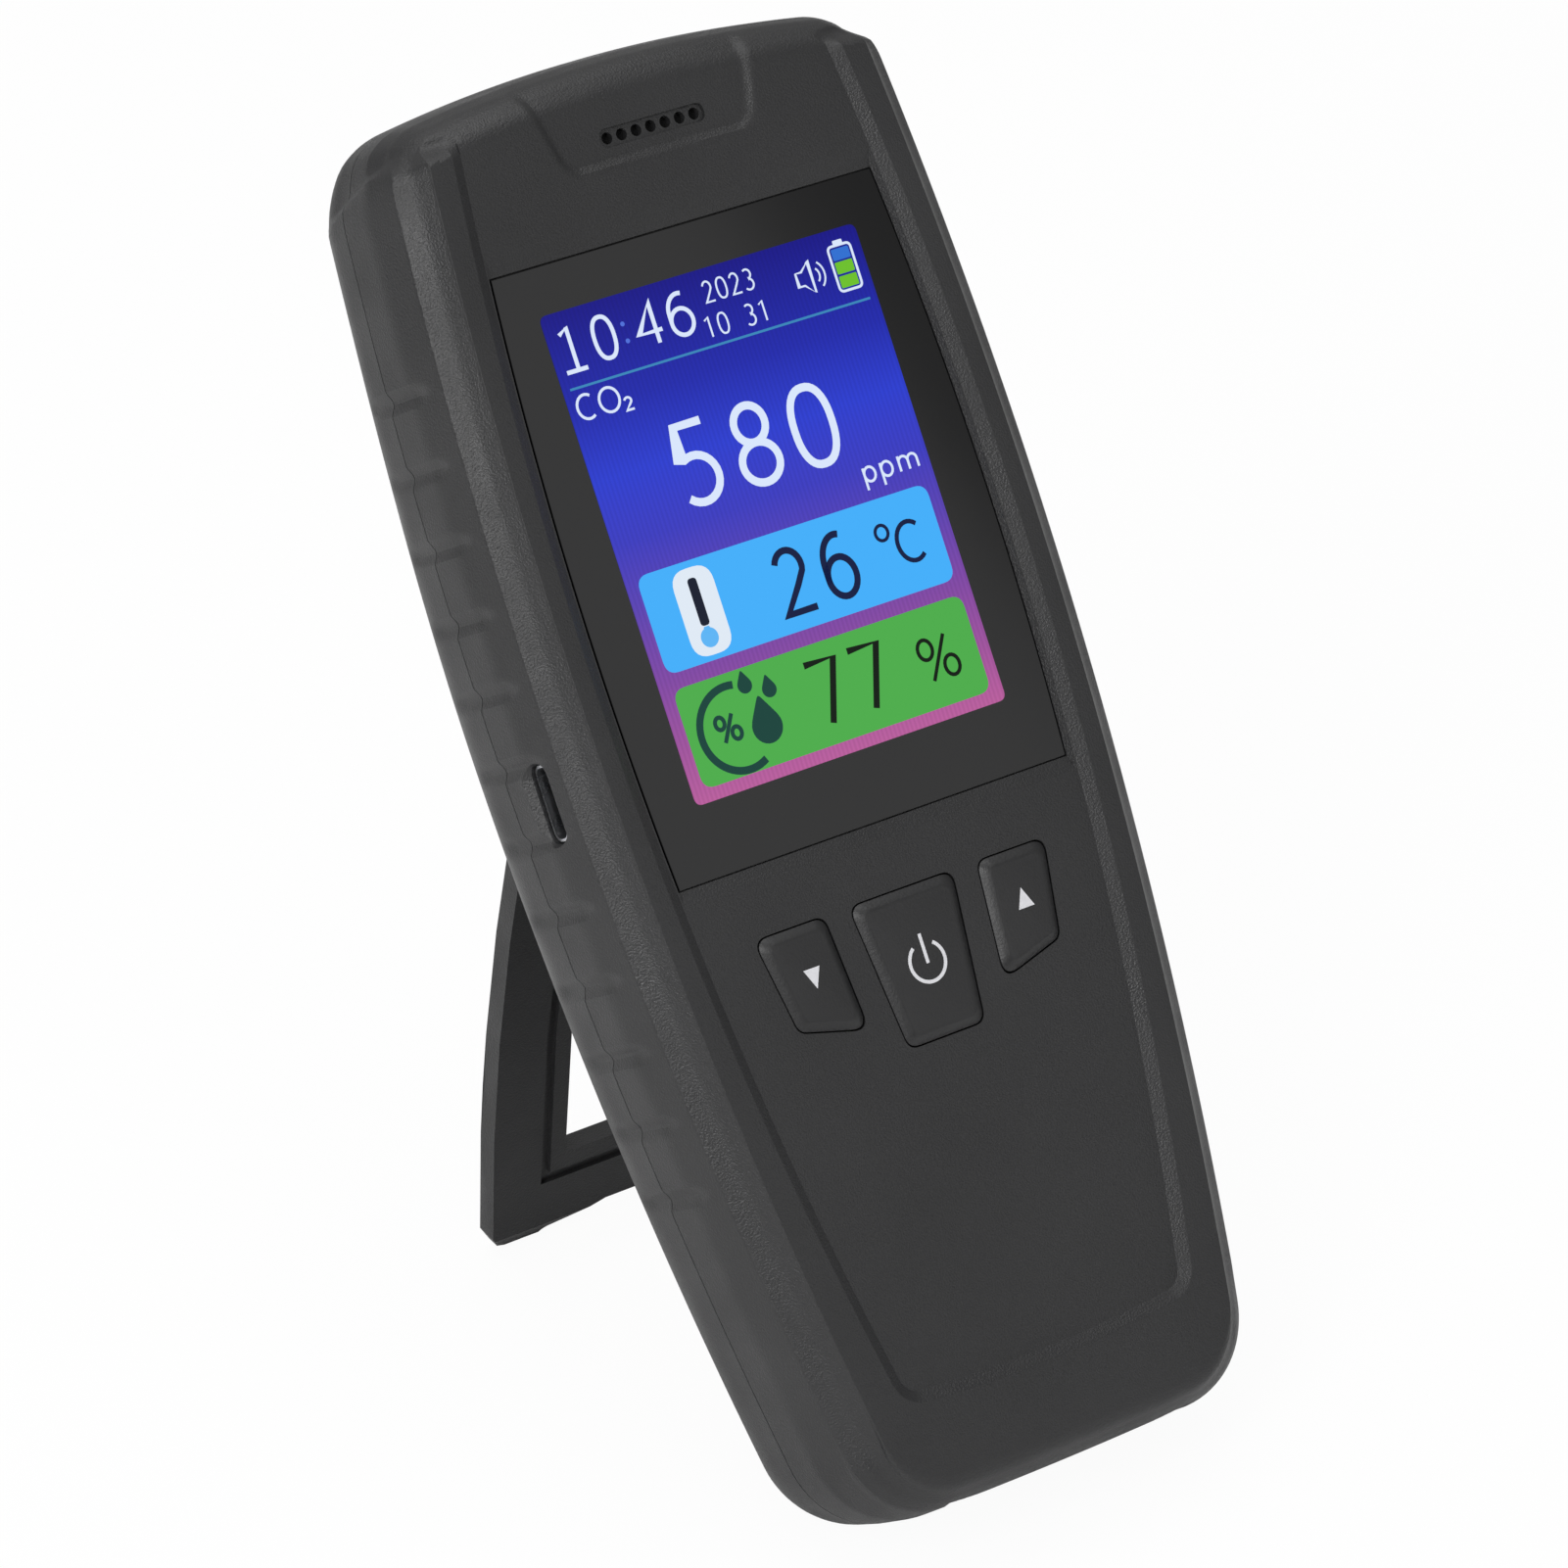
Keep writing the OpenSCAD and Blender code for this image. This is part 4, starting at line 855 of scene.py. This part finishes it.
def numeral(sign):
    """The strokes of a numeral in a box one wide and one high, as (path, closed)."""
    if sign == "0":
        return [(oval(0.5, 0.5, 0.5, 0.5, power=0.85, steps=40), True)]
    if sign == "1":
        return [([(0.12, 0.84), (0.55, 1.0), (0.55, 0.0)], False)]
    if sign == "2":
        bow = oval(0.47, 0.72, 0.43, 0.28, 160, -20, 16)
        return [(joined(bow, [(0.62, 0.42), (0.03, 0.0), (1.0, 0.0)]), False)]
    if sign == "3":
        upper = oval(0.42, 0.76, 0.44, 0.24, 130, -80, 14)
        return [(joined(upper, oval(0.42, 0.27, 0.5, 0.27, 80, -140, 16)), False)]
    if sign == "4":
        return [([(0.74, 0.0), (0.74, 1.0), (0.0, 0.3), (1.0, 0.3)], False)]
    if sign == "5":
        bow = oval(0.42, 0.3, 0.52, 0.3, 118, -135, 20)
        return [(joined([(0.88, 1.0), (0.17, 1.0), (0.1, 0.56)], bow), False)]
    if sign == "6":
        return [(oval(0.52, 0.32, 0.46, 0.32, steps=32), True),
                (joined(oval(0.62, 0.55, 0.56, 0.45, 75, 180, 14), [(0.06, 0.32)]), False)]
    if sign == "7":
        return [([(0.0, 1.0), (0.98, 1.0), (0.36, 0.0)], False)]
    return [(oval(0.5, 0.76, 0.4, 0.24, steps=30), True), (oval(0.5, 0.26, 0.48, 0.26, steps=32), True)]


def number(ink, text, left, bottom, width, height, step, stroke):
    """A row of numerals: each in its own box, step apart."""
    for k, sign in enumerate(text):
        for path, closed in numeral(sign):
            path = np.asarray(path, float) * [width - stroke, height - stroke] + [stroke / 2, stroke / 2]
            ink.band(path + [left + k * step, bottom], stroke, closed)


def rounded_box(x0, x1, z0, z1, r):
    """A box with rounded corners."""
    return rounded([(x0, z0), (x1, z0), (x1, z1), (x0, z1)], r, 6)


def percent(ink, x, z, size, stroke):
    """A per cent sign: two small rings and a slash."""
    ink.band(oval(x - 0.3 * size, z + 0.26 * size, 0.2 * size, 0.24 * size, steps=20), stroke, True)
    ink.band(oval(x + 0.3 * size, z - 0.26 * size, 0.2 * size, 0.24 * size, steps=20), stroke, True)
    ink.band([(x - 0.3 * size, z - 0.5 * size), (x + 0.3 * size, z + 0.5 * size)], stroke)


def drop(x, z, size):
    """A water drop's outline: a circle drawn out to a point at the top."""
    angle = np.linspace(0, 2 * np.pi, 28, endpoint=False)
    c, s = np.cos(angle), np.sin(angle)
    pull = np.maximum(s, 0) ** 3
    return np.stack([x + size * c * (1 - 0.55 * pull), z + size * (s + 0.8 * pull)], 1)


def display():
    """The picture on the screen, layer on layer in front of the lens."""
    picture = Ink(LENS_Y)
    picture.patch(rounded_box(-SCREEN_W / 2, SCREEN_W / 2, -SCREEN_H / 2, SCREEN_H / 2, 1.0))
    sheet = picture.piece("screen_picture", "housing", screen_glow(), "display")
    chart = sheet.data.uv_layers.new(name="screen")
    corner = np.zeros(len(sheet.data.loops), np.int32)
    sheet.data.loops.foreach_get("vertex_index", corner)
    places = np.zeros(len(sheet.data.vertices) * 3)
    sheet.data.vertices.foreach_get("co", places)
    flat = (places.reshape(-1, 3) / MM - SHIFT) @ LEAN
    chart.data.foreach_set("uv", (flat[:, [0, 2]] / [SCREEN_W, SCREEN_H] + 0.5)[corner].ravel())

    level = LENS_Y - FILM
    pale = Ink(level)
    number(pale, "10", -20.4, 21.9, 3.1, 5.3, 4.5, 0.5)
    number(pale, "46", -10.2, 21.9, 3.6, 5.3, 4.3, 0.5)
    pale.band([(-20.3, 21.9), (-17.5, 21.9)], 0.5)
    number(pale, "2023", -0.4, 24.8, 1.45, 2.6, 1.85, 0.23)
    number(pale, "10", -1.6, 20.9, 1.45, 2.6, 1.85, 0.23)
    number(pale, "31", 4.0, 20.9, 1.45, 2.6, 1.85, 0.23)
    number(pale, "580", -10.9, 3.0, 6.1, 10.0, 8.0, 0.95)
    pale.band(oval(-19.2, 17.7, 1.25, 1.4, 55, 305, 18), 0.32)
    pale.band(oval(-16.2, 17.7, 1.3, 1.4, steps=26), 0.32, True)
    number(pale, "2", -14.6, 15.8, 1.3, 1.7, 2, 0.27)
    letter_p = [(0, -0.9), (0, 1.7)]
    for x in (12.6, 15.0):
        pale.band(np.array(letter_p) + [x, -0.1], 0.3)
        pale.band(oval(x + 0.75, 0.75, 0.75, 0.85, steps=20), 0.3, True)
    for x in (17.5, 18.75):
        pale.band(joined([(x, -0.1)], oval(x + 0.62, 0.95, 0.62, 0.62, 180, 0, 10), [(x + 1.25, -0.1)]), 0.3)
    pale.band([(17.5, -0.1), (17.5, 1.7)], 0.3)
    speaker = [(12.0, 23.5), (12.8, 23.5), (14.0, 22.4), (14.0, 26.2), (12.8, 25.1), (12.0, 25.1)]
    pale.band(speaker, 0.24, True)
    for r in (0.8, 1.5):
        pale.band(oval(14.3, 24.3, r, r * 1.15, -55, 55, 10), 0.22)
    pale.band(rounded_box(17.1, 20.2, 21.6, 26.9, 0.6), 0.3, True)
    pale.patch(rounded_box(18.0, 19.3, 26.95, 27.5, 0.15))
    pale.piece("screen_figures", "housing", glowing("figure_white", "d9e6fb"), "display")

    colon = Ink(level)
    for z in (23.4, 25.4):
        colon.patch(circle(-11.6, z, 0.28, 12))
    colon.piece("screen_colon", "housing", glowing("colon_blue", "4f6fd8"), "display")
    teal = Ink(level)
    teal.band([(-20.6, 20.0), (20.6, 20.0)], 0.28)
    teal.piece("screen_rule", "housing", glowing("rule_teal", "3a86b8"), "display")
    cell_blue = Ink(level)
    cell_blue.patch(rounded_box(17.45, 19.85, 25.2, 26.55, 0.2))
    cell_blue.piece("screen_cell_blue", "housing", glowing("cell_blue", "2f6fd0"), "display")
    cell_green = Ink(level)
    for z in (21.95, 23.6):
        cell_green.patch(rounded_box(17.45, 19.85, z, z + 1.4, 0.15))
    cell_green.piece("screen_cells_green", "housing", glowing("cell_green", "6cc02a"), "display")

    blue = Ink(level)
    blue.patch(rounded_box(-20, 20, -13.8, -2.2, 1.6))
    blue.piece("screen_panel_blue", "housing", glowing("panel_blue", "42aef9"), "display")
    green = Ink(level)
    green.patch(rounded_box(-20, 20, -27.3, -15.6, 1.6))
    green.piece("screen_panel_green", "housing", glowing("panel_green", "4cac4a"), "display")

    level = level - FILM
    navy = Ink(level)
    number(navy, "26", -3.1, -12.1, 4.9, 8.0, 6.3, 0.8)
    navy.band(oval(12.4, -6.1, 0.85, 0.9, steps=20), 0.4, True)
    navy.band(oval(15.9, -8.0, 1.9, 2.3, 50, 310, 24), 0.55)
    navy.piece("screen_degrees", "housing", glowing("degrees_navy", "0c1840"), "display")
    dark = Ink(level)
    number(dark, "77", -3.2, -25.3, 4.9, 8.0, 6.0, 0.8)
    percent(dark, 14.6, -21.7, 4.9, 0.45)
    dark.piece("screen_humidity", "housing", glowing("humidity_black", "061408"), "display")

    leaf = Ink(level)
    leaf.band(oval(-13.4, -21.9, 4.9, 4.9, 78, 298, 36), 0.9)
    percent(leaf, -14.6, -21.6, 3.0, 0.5)
    leaf.patch(drop(-9.7, -22.8, 2.0))
    leaf.patch(drop(-10.9, -17.6, 0.95))
    leaf.patch(drop(-8.0, -18.9, 0.95))
    leaf.piece("screen_humidity_sign", "housing", glowing("humidity_sign", "12423a"), "display")
    gauge = Ink(level)
    gauge.patch(rounded_box(-15.9, -10.5, -13.2, -3.0, 2.2))
    gauge.piece("screen_thermometer_card", "housing", glowing("thermometer_card", "dfe9f4"), "display")
    level = level - FILM
    tube = Ink(level)
    tube.patch(rounded_box(-13.9, -12.7, -9.8, -4.2, 0.5))
    tube.piece("screen_thermometer_tube", "housing", glowing("thermometer_tube", "10182c"), "display")
    bulb = Ink(level)
    bulb.patch(circle(-13.3, -11.2, 1.15))
    bulb.patch(rounded_box(-13.7, -12.9, -10.8, -9.9, 0.2))
    bulb.piece("screen_thermometer_bulb", "housing", glowing("thermometer_bulb", "5db4f4"), "display")


# ---- Buttons, vent, lens -----------------------------------------------------------------------

BUTTON_GAP, BUTTON_Y, BEVEL = 0.15, -2.1, 1.15


def button(name, corners):
    """A button cap: straight sides up to the face, a bevel and a flat top, with eased edges."""
    corners = anticlockwise(corners)
    rows = [(0.7, 0.0, BUTTON_CORNER), (FACE_Y + 0.15, 0.0, BUTTON_CORNER),
            (FACE_Y + 0.03, 0.03, 1.57), (FACE_Y - 0.07, 0.12, 1.5),
            (BUTTON_Y + 0.12, BEVEL - 0.22, 1.1), (BUTTON_Y + 0.03, BEVEL, 1.05),
            (BUTTON_Y, BEVEL + 0.22, 1.0)]
    skin = Skin()
    skin.rings([on_plane(rounded(drawn_in(corners, BUTTON_GAP + inset), r), y) for y, inset, r in rows])
    return dress(loose_piece(f"{name}_key", skin), f"{name}_button", button_plastic, "button_plastic",
                 f"{name}_button", sharp=25)


def legends():
    """The printed marks: a triangle down, a power sign and a triangle up."""
    down = Ink(BUTTON_Y)
    down.patch(anticlockwise([(-15.85, -50.2), (-13.65, -50.2), (-14.75, -52.6)]))
    down.piece("down_mark", "down_button", legend_grey, "button_plastic")
    up = Ink(BUTTON_Y)
    up.patch(anticlockwise([(13.65, -52.1), (15.85, -52.1), (14.75, -49.7)]))
    up.piece("up_mark", "up_button", legend_grey, "button_plastic")
    power = Ink(BUTTON_Y)
    power.band(oval(0, -54, 2.35, 2.35, 125, 415, 48), 0.42)
    power.band([(0, -50.7), (0, -54.2)], 0.42)
    power.piece("power_mark", "power_button", legend_grey, "button_plastic")


def vent_grille():
    """The floor of the vent's slot with its row of holes: flat faces between the slot's outline
    and the holes, front and back, joined by the slot's side and the holes' walls."""
    front, back = FACE_Y + HOOD_DEPTH + 0.45, FACE_BACK_Y
    outline = vent_outline(-0.01)
    holes = [circle((k - (VENTS - 1) / 2) * VENT_PITCH, VENT_Z, VENT_D / 2, 24) for k in range(VENTS)]
    bm = bmesh.new()
    edges = {front: [], back: []}
    loops = []
    for loop in [outline, *holes]:
        rows = []
        for y in (front, back):
            row = [bm.verts.new(point) for point in standing(on_plane(loop, y))]
            edges[y] += [bm.edges.new((row[i - 1], row[i])) for i in range(len(row))]
            rows.append(row)
        loops.append(rows)
    for y in (front, back):
        bmesh.ops.triangle_fill(bm, use_beauty=True, use_dissolve=False, edges=edges[y])
    for first, second in loops:
        for i in range(len(first)):
            bm.faces.new((first[i - 1], first[i], second[i], second[i - 1]))
    bmesh.ops.recalc_face_normals(bm, faces=bm.faces)
    mesh = bpy.data.meshes.new("vent_grille")
    bm.to_mesh(mesh)
    bm.free()
    piece = bpy.data.objects.new("vent_grille", mesh)
    bpy.context.scene.collection.objects.link(piece)
    return dress(piece, "housing", body_plastic, "body_plastic", sharp=30)


def screen_glass():
    """The lens: a flat plate with an eased front edge."""
    skin = Skin()
    rows = [(LENS_Y + 0.8, 0.0), (LENS_Y + 0.1, 0.0), (LENS_Y + 0.03, -0.03), (LENS_Y, -0.1)]
    skin.rings([on_plane(lens_outline(grow), y) for y, grow in rows])
    return dress(loose_piece("screen_glass", skin), "housing", lens_black, "lens_glass",
                 "screen_lens", sharp=12)


def softened(name, node, body, material, slot, width):
    """A copy of a node, its doubles merged and its edges eased by a bevel."""
    piece = bpy.data.objects.new(name, frame["nodes"][node].data.copy())
    bpy.context.scene.collection.objects.link(piece)
    bm = bmesh.new()
    bm.from_mesh(piece.data)
    bmesh.ops.remove_doubles(bm, verts=bm.verts, dist=5e-6)
    bmesh.ops.dissolve_limit(bm, angle_limit=math.radians(2), verts=bm.verts, edges=bm.edges)
    bm.to_mesh(piece.data)
    bm.free()
    ease = piece.modifiers.new("ease", "BEVEL")
    ease.width, ease.segments = width * MM, 2
    ease.limit_method, ease.angle_limit = "ANGLE", math.radians(28)
    ease.harden_normals = False
    return dress(piece, body, material, slot, node, sharp=30)


dress(front_shell(), "housing", body_plastic, "body_plastic", "front_shell")
dress(rear_shell(), "housing", body_plastic, "body_plastic", "rear_shell", sharp=22)
vent_grille()
screen_glass()
display()
for key, key_corners in BUTTONS.items():
    button(key, key_corners)
legends()
softened("kickstand_frame", "kickstand", "kickstand", stand_plastic, "kickstand_plastic", 0.22)

# ---- Finishes of the other CAD nodes -----------------------------------------------------------

FINISHES = {
    "lens_adhesive": plain("adhesive", "202022", 0.7),
    "lcd_panel": plain("panel_glass", "10131c", 0.15),
    "lcd_backlight_frame": plain("backlight_plastic", "d8dade", 0.4),
    "lcd_flex": plain("flex_film", "b5651d", 0.35),
    "fpc_connector": plain("connector_cream", "e9e4d4", 0.5),
    "vent_dust_mesh": plain("dust_mesh", "0c0c0d", 0.9),
    "down_plunger": plain("plunger_white", "d9d4c7", 0.5),
    "tact_switches": bright_steel,
    "main_pcb": plain("circuit_board", "1d5c38", 0.35),
    "pcb_chips": plain("chip_black", "1a1a1c", 0.55),
    "usb_port": bright_steel,
    "usb_tongue": plain("tongue_black", "141416", 0.5),
    "battery_cell": plain("battery_wrap", "c9ccd1", 0.3),
    "battery_foam_tape": plain("foam_tape", "262628", 0.95),
    "battery_lead_red": plain("wire_red", "c02020", 0.45),
    "battery_lead_black": plain("wire_black", "151516", 0.45),
    "co2_sensor_housing": plain("sensor_brass", "c8a24a", 0.3, 1.0),
    "co2_sensor_filter": plain("filter_white", "f1f1ee", 0.95),
    "housing_screws": plain("black_screw", "2f2f31", 0.35, 0.9),
    "kickstand_pivot_pins": bright_steel,
}
SAME_FINISH = {
    "power_plunger": "down_plunger", "up_plunger": "down_plunger", "battery_connector": "fpc_connector",
    "co2_sensor_board": "main_pcb", "temp_humidity_sensor": "pcb_chips", "buzzer": "pcb_chips",
    "pcb_screws": "kickstand_pivot_pins",
}
for node, piece in frame["nodes"].items():
    finish = FINISHES.get(SAME_FINISH.get(node, node))
    if finish:
        piece.data.materials.clear()
        piece.data.materials.append(finish)

# ---- Floor, lights and world -------------------------------------------------------------------

FLOOR_WHITE_SHARE, WORLD_LIGHT = 0.95, 0.34


def make_floor():
    """A plain pale floor, white to the camera, that keeps a soft share of the shadow."""
    bpy.ops.mesh.primitive_plane_add(size=6)
    floor = bpy.context.object
    floor.name = "floor"
    material, tree, shader = surface("floor_white", "f4f4f4", 0.9, specular=0.1)
    glow = tree.nodes.new("ShaderNodeEmission")
    path = tree.nodes.new("ShaderNodeLightPath")
    share = tree.nodes.new("ShaderNodeMath")
    share.operation = "MULTIPLY"
    share.inputs[1].default_value = FLOOR_WHITE_SHARE
    link(tree, path, "Is Camera Ray", share, 0)
    blend = tree.nodes.new("ShaderNodeMixShader")
    link(tree, share, "Value", blend, "Fac")
    link(tree, shader, "BSDF", blend, 1)
    link(tree, glow, "Emission", blend, 2)
    link(tree, blend, "Shader", tree.nodes["Material Output"], "Surface")
    floor.data.materials.append(material)


def make_world(light):
    """White behind the object; a soft grey surround lights it."""
    world = bpy.data.worlds.new("surround")
    bpy.context.scene.world = world
    world.use_nodes = True
    tree = world.node_tree
    back = tree.nodes["Background"]
    back.inputs["Color"].default_value = (1, 1, 1, 1)
    back.inputs["Strength"].default_value = light
    seen = tree.nodes.new("ShaderNodeBackground")
    path = tree.nodes.new("ShaderNodeLightPath")
    blend = tree.nodes.new("ShaderNodeMixShader")
    link(tree, path, "Is Camera Ray", blend, "Fac")
    link(tree, back, "Background", blend, 1)
    link(tree, seen, "Background", blend, 2)
    link(tree, blend, "Shader", tree.nodes["World Output"], "Surface")


def softbox(name, place, aim, width, height, radiance):
    """A soft lamp at a place, facing a point, both in metres. Its power is radiance times pi times
    its area, and the camera doesn't see it."""
    data = bpy.data.lights.new(name, "AREA")
    data.shape, data.size, data.size_y = "RECTANGLE", width, height
    data.energy = radiance * math.pi * width * height
    lamp = bpy.data.objects.new(name, data)
    lamp.location = place
    lamp.rotation_euler = (Vector(aim) - Vector(place)).to_track_quat("-Z", "Y").to_euler()
    lamp.visible_camera = False
    bpy.context.scene.collection.objects.link(lamp)


MIDDLE = (0, 0, 0.08)
make_floor()
make_world(WORLD_LIGHT)
softbox("face_card", (0.252, -1.103, 0.671), (-0.248, -0.382, 0.191), 0.96, 1.0, 0.62)
softbox("strip_left", (-0.78, -0.38, 0.66), MIDDLE, 0.35, 0.7, 8.0)
softbox("top_light", (0.0, 0.35, 1.2), MIDDLE, 1.0, 1.0, 2.0)
bpy.context.scene.view_settings.view_transform = "Standard"
